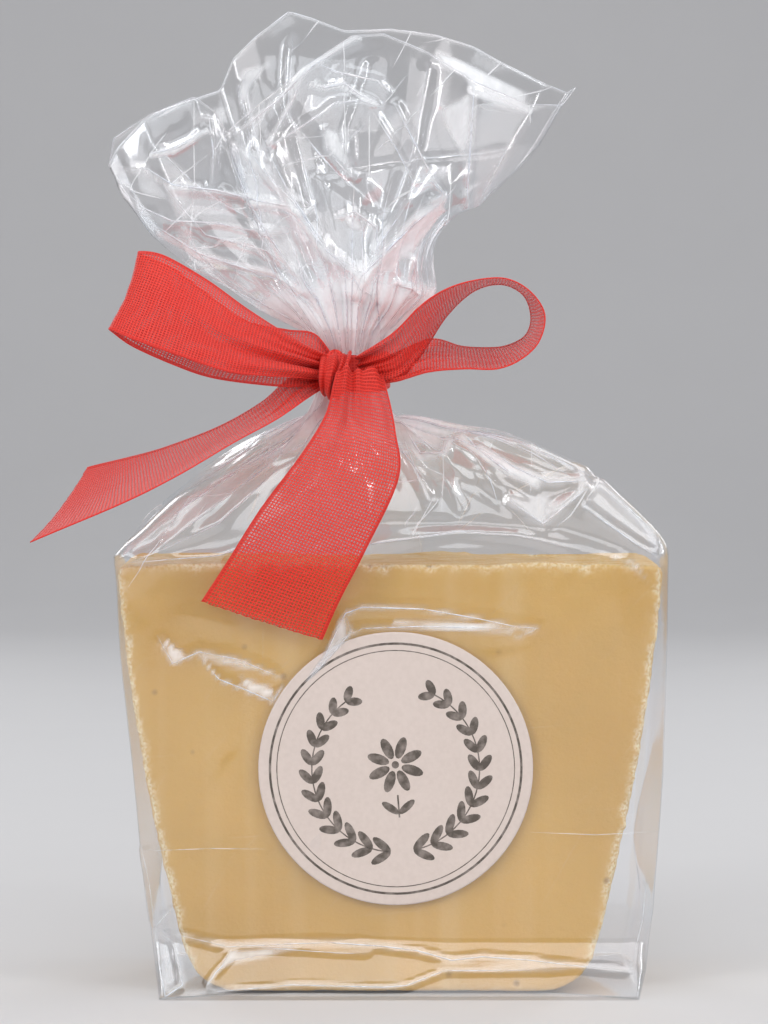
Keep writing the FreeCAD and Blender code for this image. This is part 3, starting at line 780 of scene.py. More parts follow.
backPaintedReflections = [
    (0.85, [(6.4, 140.6), (11.0, 138.6), (16.6, 135.6), (21.2, 133.2), (20.5, 129.4), (15.7, 131.0), (11.9, 132.4),
            (11.4, 135.4), (7.8, 137.1)]),
    (0.45, [(-22.7, 137.0), (-17.5, 139.0), (-21.0, 133.4), (-22.6, 129.6), (-23.6, 131.6)]),
    (0.35, [(-27.0, 131.4), (-24.4, 131.0), (-25.0, 124.0), (-26.4, 119.0)]),
]

print("film: rings")
body, angles = bodyGrid()
flare = flareGrid(angles)

(broad, _), (middlePleats, middleCrests), (finePleats, fineCrests) = (
    pleatProfile(count, seed) for count, seed in film["pleats"])

normals = surfaceNormals(body)
bodyTopRow = film["bodyRows"] - 1
collarRow = bodyTopRow + film["shoulderRows"]
rowAt = np.arange(len(body))
shoulder = unit((rowAt - bodyTopRow) / film["shoulderRows"])[:, None]
neckIn = unit((rowAt - collarRow) / 6)[:, None]
depth = (
    broad[None, :] * 1.9 * ramp(shoulder, 0.15, 0.5) * (1 - 0.6 * neckIn)
    + middlePleats[None, :] * 1.5 * ramp(shoulder, 0.45, 0.5) * (1 - 0.6 * neckIn)
    + finePleats[None, :] * 0.8 * ramp(shoulder, 0.65, 0.35) * (1 - 0.5 * neckIn)
)
bodyCreases = randomCreases(
    body, normals, (bodyTopRow + 4, collarRow - 6),
    count=9, seed=21, lengths=(8, 22), lifts=(0.3, 0.7), widths=(1.6, 4.0), along=0.6)
bodyCreases += randomCreases(
    body, normals, (16, bodyTopRow - 2),
    count=26, seed=33, lengths=(6, 18), lifts=(0.06, 0.18), widths=(1.4, 4.0), along=0.1)
seenFolds = shoulderFolds + faceFolds + footFolds
ridges, bodyMilkAndGlint = ridgeField(body, normals, seenFolds)
bodyCrumple = ramp(shoulder, 0.04, 0.2) * (1 - ramp(shoulder, 0.75, 0.25))
bodyCrumple = bodyCrumple + 0.07 * ramp(rowAt, 14, 8)[:, None] * (1 - smoothStep(shoulder / 0.04))
push = creaseField(body, normals, bodyCreases) + ridges + facetField(body, film["bodyFacets"]) * bodyCrumple
keepFoot = smoothStep(rowAt / 3.0)[:, None]
bodyShape = body + normals * (push * keepFoot - depth)[:, :, None]

flareNormals = surfaceNormals(flare)
collarAt, rimRow = film["neckRows"], len(flare) - 1
rowAt = np.arange(len(flare))
up = unit((rowAt - collarAt) / film["flareRows"])[:, None]
flareDepth = (
    np.roll(broad, 9)[None, :] * (0.8 + 0.9 * smoothStep(up / 0.3)) * (1 - 0.95 * ramp(up, 0.25, 0.5))
    + middlePleats[None, :] * (0.7 + 0.7 * smoothStep(up / 0.1)) * (1 - ramp(up, 0.06, 0.34))
    + finePleats[None, :] * 0.6 * (1 - ramp(up, 0.04, 0.26))
)
flareCreases = randomCreases(
    flare, flareNormals, (collarAt + 12, rimRow - 9),
    count=7, seed=44, lengths=(14, 32), lifts=(0.5, 1.1), widths=(2.6, 5.0), along=0.6)
flareRidges, flareMilkAndGlint = ridgeField(flare, flareNormals, flareFolds)
backRidges, backMilkAndGlint = ridgeField(flare, flareNormals, backFolds, "back")
flareCrumple = ramp(up, 0.10, 0.3)
flarePush = creaseField(flare, flareNormals, flareCreases) + flareRidges + backRidges
flarePush += facetField(flare, film["flareFacets"]) * flareCrumple * (1 - 0.6 * ramp(up, 0.9, 0.1))
flareShape = flare + flareNormals * (flarePush * smoothStep(up / 0.12) - flareDepth)[:, :, None]

# whiter towards the neck: partly the bunched layers of film, partly painted highlight of their many reflections
bodyHazeAndGlint = 0.95 * ramp(shoulder, 0.72, 0.28) + 0.12 * ramp(shoulder, 0.2, 0.5)
bodyHazeAndGlint = bodyHazeAndGlint + bodyMilkAndGlint + paintedReflectionField(body, normals, bodyPaintedReflections)
seamMiddle, seamHalf = film["seam"]
seam = (np.abs(body[:, :, 0] - seamMiddle) < seamHalf) * facing(normals, body, "back")
bodyHazeAndGlint = bodyHazeAndGlint + 0.10 * seam * (1 - smoothStep(shoulder / 0.8))
bodyHazeAndGlint = unit(bodyHazeAndGlint)
# whitest just above the tie: partly bunched layers, partly painted highlight of their reflections
flareHazeAndGlint = (1 - ramp(up, 0.03, 0.20)) + 0.14 * (1 - ramp(up, 0.15, 0.5))
flareHazeAndGlint = flareHazeAndGlint + flareMilkAndGlint + backMilkAndGlint + paintedReflectionField(flare, flareNormals, flarePaintedReflections)
flareHazeAndGlint = flareHazeAndGlint + paintedReflectionField(flare, flareNormals, backPaintedReflections, "back")
# painted highlight along the rim's edge
edgeRow = np.exp(-((rimRow - rowAt) / 1.2) ** 2)[:, None]
flareHazeAndGlint = unit(flareHazeAndGlint + 0.25 * edgeRow)

clearFilm = filmMaterial()
filmBody = filmTube("filmBody", bodyShape, bodyHazeAndGlint, bodyCrumple, clearFilm, capFoot=True)
filmFlare = filmTube("filmFlare", flareShape, flareHazeAndGlint, flareCrumple, clearFilm)
print("film: body", len(filmBody.data.polygons), "flare", len(filmFlare.data.polygons))


# Crest lines of the folds: fine tapered whitish threads of film, painted highlights along the folds and the rim,
# partly real crease whitening

def treeOf(grid):
    return BVHTree.FromPolygons(grid.reshape(-1, 3).tolist(), gridFaces(len(grid), columns, True))


# Where a ray first meets the film, and the film's direction there, back towards the ray
def hitOn(tree, start, direction, reach):
    spot, normal, _, _ = tree.ray_cast(Vector(start), Vector(direction), reach)
    if spot is None:
        return None, None
    normal = np.array(normal)
    return np.array(spot), -normal if normal @ np.array(direction) > 0 else normal


# Where a fold's crest lies on the finished film
def crestPath(tree, crease, count):
    middle, run, face = crease["middle"], crease["run"], crease["face"]
    half = np.linalg.norm(run) / 2
    along = run / (2 * half)
    across = unitVector(np.cross(face, along))
    path = []
    for t in np.linspace(-0.94, 0.94, count):
        start = middle + along * (t * half) + across * crease["bow"] * (1 - t * t) + face * 5.0
        spot, normal = hitOn(tree, start, -face, 14.0)
        if spot is None:
            if len(path) > 5:
                break
            path = []
            continue
        path.append((spot, normal))
    for i in range(1, len(path)):
        if np.linalg.norm(path[i][0] - path[i - 1][0]) > 2.5 * 2 * half / count:
            return path[:i]
    return path


# A run of points across and up, laid on the film as seen from the front or the back
def seenPath(tree, points, side=-1):
    path = []
    for (ax, az), (bx, bz) in zip(points[:-1], points[1:]):
        count = max(2, int(math.hypot(bx - ax, bz - az) / 0.55))
        for k in range(count):
            t = k / count
            start = (ax + (bx - ax) * t, side * 60.0, az + (bz - az) * t)
            spot, normal = hitOn(tree, start, (0, -side, 0), 75.0)
            if spot is None:
                continue
            if path and np.linalg.norm(spot - path[-1][0]) > 3.2:
                if len(path) > 8:
                    return path
                path = []
            path.append((spot, normal))
    return path


# Slim tapered threads, each on its path of places and film normals, with its width
def threadMesh(name, paths, material):
    points, faces = [], []
    for path, width in paths:
        n = len(path)
        if n < 5:
            continue
        first = len(points)
        for i, (p, normal) in enumerate(path):
            along = unitVector(path[min(i + 1, n - 1)][0] - path[max(i - 1, 0)][0])
            side = unitVector(np.cross(normal, along))
            share = math.sin(math.pi * (i + 0.15) / (n - 0.7))
            half = width / 2 * max(share, 0.04)
            points += [p + side * half + normal * 0.015, p + normal * (0.03 + half * 0.55),
                       p - side * half + normal * 0.015, p - normal * 0.03]
        for i in range(n - 1):
            o = first + 4 * i
            for k in range(4):
                m = (k + 1) % 4
                faces.append((o + k, o + m, o + 4 + m, o + 4 + k))
        faces.append(tuple(first + k for k in (3, 2, 1, 0)))
        last = first + 4 * (n - 1)
        faces.append(tuple(last + k for k in (0, 1, 2, 3)))
    return newPiece(name, points, faces, material)


def columnPath(grid, gridNormals, column, rows):
    return [(grid[r, column], gridNormals[r, column]) for r in range(rows[0], rows[1], 2)]


foldWhiteningAndGlint = foldWhiteningAndGlintMaterial()
bodyTree, flareTree = treeOf(bodyShape), treeOf(flareShape)
bodyPaths = [(crestPath(bodyTree, c, 30), 0.10 + 0.14 * c["lift"]) for c in bodyCreases if c["lift"] > 0.3]
bodyPaths += [(seenPath(bodyTree, f[0]), 0.06 + 0.18 * f[1] + 0.3 * f[3]) for f in seenFolds if f[1] > 0.1]
seamLines = [
    [(-3.0, 0.8), (-3.1, 30.0), (-2.9, 64.0), (-5.0, 80.0)], [(5.0, 0.8), (5.1, 30.0), (4.9, 64.0), (1.0, 80.0)],
    [(-37.0, 12.0), (-12.0, 13.4), (14.0, 11.8), (38.4, 12.6)], [(-30.0, 40.0), (-12.0, 43.0), (3.0, 37.0)],
]
bodyPaths += [(seenPath(bodyTree, line, 1), 0.15) for line in seamLines]
shapeNormals = surfaceNormals(bodyShape)
for k, column in enumerate(middleCrests + fineCrests[::2]):
    start = bodyTopRow + int(film["shoulderRows"] * (0.35 + 0.4 * ((k * 37) % 10) / 10))
    bodyPaths.append((columnPath(bodyShape, shapeNormals, column, (start, collarRow + 4)), 0.26))
flarePaths = [(crestPath(flareTree, c, 30), 0.12 + 0.16 * c["lift"]) for c in flareCreases if c["lift"] > 0.35]
flarePaths += [(seenPath(flareTree, f[0]), 0.10 + 0.12 * f[1] + 0.26 * f[3]) for f in flareFolds if f[1] > 0]
flarePaths += [(seenPath(flareTree, f[0], 1), 0.14 + 0.1 * f[1]) for f in backFolds if f[1] > 0]
shapeNormals = surfaceNormals(flareShape)
for k, column in enumerate(middleCrests + fineCrests[::2]):
    end = collarAt + int(film["flareRows"] * (0.2 + 0.45 * ((k * 53) % 10) / 10))
    flarePaths.append((columnPath(flareShape, shapeNormals, column, (5, end)), 0.26))
# threads round the rim: painted highlight along its edge
rimPath = [(flareShape[rimRow, c % columns], shapeNormals[rimRow, c % columns]) for c in range(columns + 1)]
for start in range(0, columns, 24):
    flarePaths.append((rimPath[start:start + 27], 0.15))
filmBodyFoldWhiteningAndGlints = threadMesh("filmBodyFoldWhiteningAndGlints", bodyPaths, foldWhiteningAndGlint)
filmFlareFoldWhiteningAndGlints = threadMesh("filmFlareFoldWhiteningAndGlints", flarePaths, foldWhiteningAndGlint)
print("film: fold lines", len(filmBodyFoldWhiteningAndGlints.data.polygons), len(filmFlareFoldWhiteningAndGlints.data.polygons))

for piece in (filmBody, filmFlare, filmBodyFoldWhiteningAndGlints, filmFlareFoldWhiteningAndGlints):
    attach(piece, "root")
    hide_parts("film_bag")


# Soap slice

soap = {
    "top": 79.7, "bottom": 57.0, "height": 63.0, "thickness": 24.0, "floor": 0.3,
    "bulge": 1.6, "footCorner": 6.0, "topCorner": 1.8, "voxel": 0.62,
    "chips": 230, "chipSize": (0.4, 1.3), "topChips": 0.18,      # the last is the share along the top
    "cream": (0.69, 0.425, 0.110, 1), "deep": (0.61, 0.365, 0.085, 1), "pale": (0.90, 0.79, 0.56, 1),
    "speck": (0.30, 0.16, 0.06, 1),
}


def soapMaterial():
    material, nodes, shader = newMaterial("creamSoap")
    place = nodes.objectSpace()
    tone = nodes.mottle(place, 38, 4, (0.36, 0.66), (0, 1), soap["deep"], soap["cream"])
    vertical = nodes.noise(place, 60, 2.0, 0.5, stretch=(3.0, 0.2, 0.12))
    drawn = nodes.mixColor(nodes.mapRange(vertical, 0.5, 0.72, 0.0, 0.12), tone, soap["pale"])
    crumbly = nodes.mapRange(nodes.noise(place, 2400, 3.0), 0.38, 0.60, 0.2, 1.0)
    edged = nodes.mixColor(nodes.math("MULTIPLY", nodes.attribute("wear"), crumbly), drawn, soap["pale"])
    dots = nodes.add("ShaderNodeTexVoronoi", Scale=190.0)
    dark = nodes.mapRange(nodes.feed(dots, {"Vector": place}), 0.04, 0.13, 1.0, 0.0)
    rare = nodes.math("MULTIPLY", dark, nodes.mapRange(nodes.noise(place, 60, 1.0), 0.55, 0.63))
    grain = nodes.noise(place, 620, 5.0, 0.65)
    coarse = nodes.bump(nodes.noise(place, 120, 3.0, 0.5), 0.35, 0.0006)
    nodes.feed(shader, {
        "Base Color": nodes.mixColor(nodes.math("MULTIPLY", rare, 0.65), edged, soap["speck"]),
        "Roughness": nodes.mapRange(grain, 0.3, 0.7, 0.42, 0.62),
        "Normal": nodes.bump(grain, 0.4, 0.00025, coarse),
        "Subsurface Weight": 0.12, "Subsurface Radius": (0.004, 0.0022, 0.001), "Subsurface Scale": 0.6,
    })
    return material


def soapSlice():
    middle = mm(soap["floor"] + soap["height"] / 2)
    piece = startWith("soapSlice", bpy.ops.mesh.primitive_cube_add, (0, 0, middle), size=1)
    piece.scale = (mm(soap["top"]), mm(soap["thickness"]), mm(soap["height"]))
    bpy.ops.object.transform_apply(location=True, rotation=False, scale=True)
    for v in piece.data.vertices:
        if v.co.z < mm(10):
            v.co.x *= soap["bottom"] / soap["top"]
    pickEdges(piece, lambda a, b: abs(a.y - b.y) > mm(10) and a.z < mm(10))
    bpy.ops.mesh.bevel(offset=mm(soap["footCorner"]), segments=8, affect="EDGES")
    pickEdges(piece, lambda a, b: abs(a.y - b.y) > mm(10) and a.z > mm(60))
    bpy.ops.mesh.bevel(offset=mm(soap["topCorner"]), segments=5, affect="EDGES")
    setMode("OBJECT")
    applyModifier(piece, "REMESH", mode="VOXEL", voxel_size=mm(soap["voxel"]))
    return piece


# A soft seeded unevenness about -1 to 1, from a few crossing sine waves
def waves(points, frequency, seed):
    local = np.random.default_rng(seed)
    total = np.zeros(len(points))
    for k in range(9):
        direction = unitVector(local.normal(size=3))
        scale = frequency * local.uniform(0.6, 2.2)
        total += np.sin(points @ direction * scale * 2 + local.uniform(0, 6.28)) / (1 + 0.25 * k)
    return total / 2.6


def vectorsOf(vertices, key):
    values = np.empty(len(vertices) * 3)
    vertices.foreach_get(key, values)
    return values.reshape(-1, 3)


# Half the slice's width at a share of its height, and how far its side bows out there
def soapHalf(share):
    return ((soap["bottom"] + (soap["top"] - soap["bottom"]) * share) / 2,
            soap["bulge"] * 4 * share * (1 - share))


def chipsAt(co):
    chipped = np.zeros(len(co))
    for _ in range(soap["chips"]):
        share = rng.uniform(0.02, 1.0)
        spot = np.array([
            sum(soapHalf(share)) * rng.choice([-1, 1]), soap["thickness"] / 2 * rng.choice([-1, 1]),
            soap["floor"] + share * soap["height"]])
        if rng.random() < soap["topChips"]:
            spot[0], spot[2] = rng.uniform(-38, 38), soap["floor"] + soap["height"]
        size = rng.uniform(*soap["chipSize"]) * np.array([1, 1, rng.uniform(0.8, 2.0)])
        away = np.linalg.norm((co - spot) / size, axis=1)
        chipped = np.maximum(chipped, rng.uniform(0.3, 1.0) * unit(1.25 - away))
    return chipped


def roughenSoap(piece):
    mesh = piece.data
    co, normal = vectorsOf(mesh.vertices, "co") * 1000, vectorsOf(mesh.vertices, "normal")
    foot, top, faceAt = soap["floor"], soap["floor"] + soap["height"], soap["thickness"] / 2
    half, bow = soapHalf(unit((co[:, 2] - foot) / soap["height"]))
    co[:, 0] += co[:, 0] / half * bow
    half = half + bow
    # near the edges of the two cut faces, along the sides and the top
    faceGap = faceAt - np.abs(co[:, 1])
    sideGap = np.minimum(half - np.abs(co[:, 0]), np.minimum(top - co[:, 2], co[:, 2] - foot))
    nearEdge = np.exp(-((faceGap / 1.0) ** 2)) * np.exp(-((sideGap / 1.3) ** 2))
    rough = waves(co, 0.9, 3) * 0.5 + waves(co, 2.3, 4) * 0.5
    onSide = unit(np.abs(normal[:, 0]) * 1.3 - 0.2)
    onTop = unit(normal[:, 2] * 1.5 - 0.4)
    chipped = chipsAt(co)
    inward = 0.12 * nearEdge * np.clip(rough + 0.2, 0, 1.4) + 0.14 * onSide * np.clip(rough, -0.6, 1) + 0.55 * chipped
    swirl = onTop * (0.34 * waves(co * (1, 1.6, 1), 0.16, 9) + 0.05 * waves(co, 0.45, 11))
    face = 0.035 * waves(co * (1, 1, 0.25), 0.22, 14) * (1 - onSide) * (1 - onTop)
    co += normal * (face - inward)[:, None]
    co[:, 2] = np.maximum(co[:, 2] + swirl - 0.3 * onTop, foot)
    co[:, 1] = np.clip(co[:, 1], -faceAt - 0.05, faceAt + 0.05)
    mesh.vertices.foreach_set("co", (co * 0.001).ravel())
    # pale wear: chips, and crumbling lips along the top and the sides
    wear = unit(nearEdge * (0.25 + 0.4 * rough) + 1.5 * chipped)
    lip = top - co[:, 2] + 0.35 * waves(co * (1, 0, 0), 0.5, 21)
    wear = np.maximum(wear, 0.75 * (1 - ramp(lip, 0.2, 0.9)) * (co[:, 1] < 1 - faceAt))
    sideLip = half - np.abs(co[:, 0]) + 0.3 * waves(co * (0, 0, 1), 0.9, 23)
    wear = np.maximum(wear, (1 - ramp(sideLip, 0.2, 0.6)) * (np.abs(co[:, 1]) > faceAt - 1))
    wear = np.maximum(wear, 0.5 * onTop * unit(0.6 + rough))
    addLayer(mesh, "wear", wear)
    mesh.update()
    mesh.shade_smooth()


soapPiece = soapSlice()
roughenSoap(soapPiece)
soapPiece.data.materials.clear()
soapPiece.data.materials.append(soapMaterial())
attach(soapPiece, "root")
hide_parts("soap_bar")
print("soap", len(soapPiece.data.polygons))


# Sticker

label = {
    "radius": 20.0, "thickness": 0.14, "across": 0.8, "height": 33.3, "front": 12.92, "turn": 4.5,
    "paper": (0.73, 0.625, 0.570, 1), "fibre": (0.64, 0.54, 0.485, 1), "ink": (0.105, 0.085, 0.07, 1),
    "rings": [(18.3, 0.34), (17.3, 0.14)],     # radius and line width
    "wreath": {"radius": 12.2, "from": -82, "to": 58, "pairs": 12, "lean": 0.62, "leaf": (3.3, 1.25), "bars": 30},
    "flower": {"middle": 0.6, "reach": 0.95, "petals": 8, "petal": (3.3, 1.5)},
    "print": 0.02,
}


def paperMaterial():
    material, nodes, shader = newMaterial("stickerPaper")
    place = nodes.objectSpace()
    tone = nodes.mottle(place, 1500, 4, (0.35, 0.7), (0, 0.4), label["paper"], label["fibre"])
    nodes.feed(shader, {
        "Base Color": nodes.mottle(place, 70, 2, (0.4, 0.7), (0, 0.2), tone, label["fibre"]),
        "Roughness": 0.5,
        "Normal": nodes.bump(nodes.noise(place, 1500, 4.0, 0.6), 0.25, 0.00008),
    })
    return material


def inkMaterial():
    material, nodes, shader = newMaterial("stickerInk")
    tone = nodes.mottle(nodes.objectSpace(), 900, 3, (0.4, 0.75), (0, 0.35), label["ink"], label["paper"])
    nodes.feed(shader, {"Base Color": tone, "Roughness": 0.45})
    return material


# Lays a flat piece, drawn from the sticker's middle, on the bag's front. outOf gives a vertex's millimetres.
def layOnBag(piece, outOf):
    a = math.radians(label["turn"])
    for v in piece.data.vertices:
        x, z, lift = outOf(v)
        u, w = x * math.cos(a) - z * math.sin(a), x * math.sin(a) + z * math.cos(a)
        bend = 0.10 * math.sin(u * 0.16 + 0.6) + 0.08 * math.sin(w * 0.21 - 0.4)
        v.co = (mm(label["across"] + u), mm(-label["front"] - bend * 0.6 - lift), mm(label["height"] + w))
    turnOutwards()


def stickerDisc():
    piece = startWith(
        "paperSticker", bpy.ops.mesh.primitive_cylinder_add,
        vertices=96, radius=mm(label["radius"]), depth=mm(label["thickness"]), end_fill_type="NOTHING")
    for level in (1, -1):
        pickEdges(piece, lambda a, b: a.z * level > 0 and b.z * level > 0
                  and abs(a.xy.length - mm(label["radius"])) < mm(0.01))
        bpy.ops.mesh.edge_face_add()
        bpy.ops.mesh.inset(thickness=mm(0.25), depth=0)
        for _ in range(9):
            bpy.ops.mesh.inset(thickness=mm(2.05), depth=0)
        bpy.ops.mesh.select_all(action="DESELECT")
        setMode("OBJECT")

    def pressed(v):     # the front's cut edge is pressed down a little
        rim = v.co.xy.length > mm(label["radius"] - 0.1) and v.co.z > 0
        return v.co.x * 1000, v.co.y * 1000, v.co.z * 1000 - (0.03 if rim else 0)

    layOnBag(piece, pressed)
    piece.data.shade_smooth()
    return piece


# A plain wreath with a flower inside two fine rings, drawn flat in millimetres
def stickerInk():
    wreath, flower = label["wreath"], label["flower"]
    circle = bpy.ops.mesh.primitive_circle_add
    leaf = startWith("leaf", circle, (0.5, 0, 0), vertices=14, radius=0.5, fill_type="NGON")
    bpy.ops.object.transform_apply(location=True, rotation=False, scale=False)
    bar = startWith("bar", bpy.ops.mesh.primitive_plane_add, size=1)
    parts = []

    def draw(shape, x, z, angle, length, width):
        part = shape.copy()
        part.data = shape.data.copy()
        turn = Matrix.Rotation(angle, 4, "Z") @ Matrix.Diagonal((length, width, 1, 1))
        part.data.transform(Matrix.Translation((x, z, 0)) @ turn)
        bpy.context.collection.objects.link(part)
        parts.append(part)

    for radius, width in label["rings"]:
        inner, outer = radius - width / 2, radius + width / 2
        parts.append(startWith("ring", circle, vertices=96, radius=inner, fill_type="NOTHING"))
        setMode("EDIT")
        bpy.ops.mesh.extrude_region_move()
        bpy.ops.transform.resize(value=(outer / inner, outer / inner, 1), center_override=(0, 0, 0))
        setMode("OBJECT")
    low, high = math.radians(wreath["from"]), math.radians(wreath["to"])
    for side in (1, -1):
        def onWreath(share):
            a = low + (high - low) * share
            return a, side * wreath["radius"] * math.cos(a), wreath["radius"] * math.sin(a)

        for k in range(wreath["pairs"]):
            a, x, z = onWreath(k / (wreath["pairs"] - 1))
            for lean in (wreath["lean"], -wreath["lean"]):
                heading = a + math.pi / 2 + lean
                length, width = wreath["leaf"]
                draw(leaf, x, z, heading if side > 0 else math.pi - heading, length - 0.08 * k, width)
        for k in range(wreath["bars"]):
            a, x, z = onWreath((k + 0.5) / wreath["bars"])
            draw(bar, x, z, side * (a + math.pi / 2), 1.02, 0.2)
    for k in range(flower["petals"]):
        angle = 2 * math.pi * (k + 0.5) / flower["petals"]
        x, z = flower["reach"] * math.cos(angle), flower["middle"] + flower["reach"] * math.sin(angle)
        draw(leaf, x, z, angle, *flower["petal"])
    draw(leaf, -0.55, flower["middle"], 0, 1.1, 1.1)
    draw(bar, 0, -5.5, math.pi / 2, 3.3, 0.24)
    for angle in (38, 142):
        draw(leaf, 0, -6.6, math.radians(angle), 3.0, 1.1)
    for shape in (leaf, bar):
        bpy.data.objects.remove(shape)
    makeActive(parts[0])
    for part in parts:
        part.select_set(True)
    bpy.ops.object.join()
    piece = bpy.context.object
    piece.name = "stickerPrint"
    setMode("EDIT")
    bpy.ops.mesh.select_all(action="SELECT")
    bpy.ops.mesh.extrude_region_move(TRANSFORM_OT_translate={"value": (0, 0, label["print"])})
    setMode("OBJECT")
    foot = label["thickness"] / 2 - 0.008
    layOnBag(piece, lambda v: (v.co.x, v.co.y, foot + v.co.z))
    return piece


sticker = stickerDisc()
sticker.data.materials.append(paperMaterial())
stickerPrint = stickerInk()
stickerPrint.data.materials.append(inkMaterial())
for piece in (sticker, stickerPrint):
    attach(piece, "root")
    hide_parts("round_label")
print("sticker", len(sticker.data.polygons), len(stickerPrint.data.polygons))


# Sheer ribbon: a woven sheet along a path, gathered where it enters the knot

ribbon = {
    "width": 17.0, "thickness": 0.16,
    "across": 40, "perSpan": 14,
    "thread": 0.47,          # from one thread to the next
    "red": (0.78, 0.022, 0.012, 1), "light": (0.85, 0.045, 0.025, 1), "dark": (0.58, 0.012, 0.008, 1),
}


def ribbonMaterial():
    material, nodes, shader = newMaterial("sheerRibbon")
    place = nodes.objectSpace()
    split = nodes.add("ShaderNodeSeparateXYZ")
    nodes.join(nodes.uvSpace(), split.inputs[0])
    turns = 2 * math.pi / ribbon["thread"]
    warp = nodes.math("SINE", nodes.math("MULTIPLY", split.outputs[0], turns))
    shift = nodes.math("MULTIPLY", nodes.noise(place, 160, 2.0), 0.5)
    weft = nodes.math("SINE", nodes.math("MULTIPLY", nodes.math("ADD", split.outputs[1], shift), turns))
    mesh = nodes.math("MAXIMUM", nodes.math("MULTIPLY", warp, 0.8), weft)
    threads = nodes.mapRange(mesh, -0.1, 0.7)
    selvedge, bunched = nodes.attribute("selvedge"), nodes.attribute("bunched")
    cover = nodes.mapRange(threads, 0.0, 1.0, 0.24, 0.84)
    cover = nodes.math("MAXIMUM", cover, nodes.math("MULTIPLY", selvedge, 0.97))
    cover = nodes.math("MAXIMUM", cover, nodes.math("MULTIPLY", bunched, 0.98))
    tone = nodes.mixColor(threads, ribbon["dark"], ribbon["light"])
    uneven = nodes.mottle(place, 90, 3, (0.4, 0.65), (0.1, 0.65), tone, ribbon["red"])
    soft = nodes.math("SUBTRACT", 1.0, nodes.math("MULTIPLY", bunched, 0.85))
    nodes.feed(shader, {
        "Alpha": cover,
        "Base Color": nodes.mixColor(nodes.math("MULTIPLY", selvedge, 0.75), uneven, ribbon["red"]),
        "Roughness": nodes.mapRange(threads, 0, 1, 0.75, 0.55),
        "Normal": nodes.bump(nodes.math("MULTIPLY", mesh, soft), 0.4, 0.00009),
        "Sheen Weight": 0.12, "Sheen Roughness": 0.4,
    })
    return material


# Catmull-Rom points through a list, count to a span
def curveThrough(points, count):
    pts = np.array(points, float)
    padded = np.vstack([2 * pts[0] - pts[1], pts, 2 * pts[-1] - pts[-2]])
    out = []
    for i in range(len(pts) - 1):
        p0, p1, p2, p3 = padded[i:i + 4]
        for k in range(count + (1 if i == len(pts) - 2 else 0)):
            t = k / count
            out.append(0.5 * (2 * p1 + (p2 - p0) * t + (2 * p0 - 5 * p1 + 4 * p2 - p3) * t * t
                              + (3 * p1 - p0 - 3 * p2 + p3) * t ** 3))
    return np.array(out)


# A woven strip between its two selvedges, puckered where they come together
def ribbonSheet(name, edges, material, ruffle=0.5, seed=1, frayed=False, cup=0.0):
    lowEdge, highEdge = (curveThrough([e[k] for e in edges], ribbon["perSpan"]) for k in (0, 1))
    rows, across = len(lowEdge), ribbon["across"]
    local = np.random.default_rng(seed)
    phases = local.uniform(0, 6.28, 5)
    folds = local.uniform(0.8, 1.2, 5) * np.array([2.2, 3.1, 4.4, 5.6, 1.3])
    grid = np.empty((rows, across + 1, 3))
    uv = np.empty((rows, across + 1, 2))
    middle = (lowEdge + highEdge) / 2
    runLength = np.concatenate([[0], np.cumsum(np.linalg.norm(np.diff(middle, axis=0), axis=1))])
    wide = np.linalg.norm(highEdge - lowEdge, axis=1)
    tight = unit(1 - wide / (ribbon["width"] * 0.94))
    for r in range(rows):
        a, b = lowEdge[r], highEdge[r]
        ahead = middle[min(r + 1, rows - 1)] - middle[max(r - 1, 0)]
        face = unitVector(np.cross(ahead, b - a))
        for c in range(across + 1):
            s = c / across
            wave = sum(math.sin(f * 2 * math.pi * s + p) for f, p in zip(folds, phases)) / 3
            fold = ruffle * tight[r] ** 1.2 * wave * 1.6
            fold += 0.10 * ruffle * math.sin(s * 5 + runLength[r] * 0.3 + phases[0])
            bowl = cup * (1 - (2 * s - 1) ** 2) * (1 - tight[r])
            grid[r, c] = a + (b - a) * s + face * (fold + bowl)
            uv[r, c] = (s * ribbon["width"], runLength[r])
    if frayed:
        end = rows - 1
        ahead = unitVector(middle[end] - middle[end - 1])
        for c in range(across + 1):
            grid[end, c] += ahead * local.uniform(-0.09, 0.09)
    w = across + 1
    piece = newPiece(name, grid.reshape(-1, 3), gridFaces(rows, w, False), material)
    mesh = piece.data
    layer = mesh.uv_layers.new(name="weave")
    flat = uv.reshape(-1, 2)
    for loop in mesh.loops:
        layer.data[loop.index].uv = flat[loop.vertex_index]
    s = np.tile(np.abs(2 * np.arange(w) / across - 1), rows)
    addLayer(mesh, "selvedge", unit((s - 0.90) / 0.07))
    addLayer(mesh, "bunched", np.repeat(tight, w) ** 1.5)
    applyModifier(piece, "SOLIDIFY", thickness=mm(ribbon["thickness"]), offset=0)
    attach(piece, "root")
    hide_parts("ribbon_bow")
    return piece, float(runLength[-1])


# Each ribbon piece by its two selvedges: from the knot to its far end, or round and back

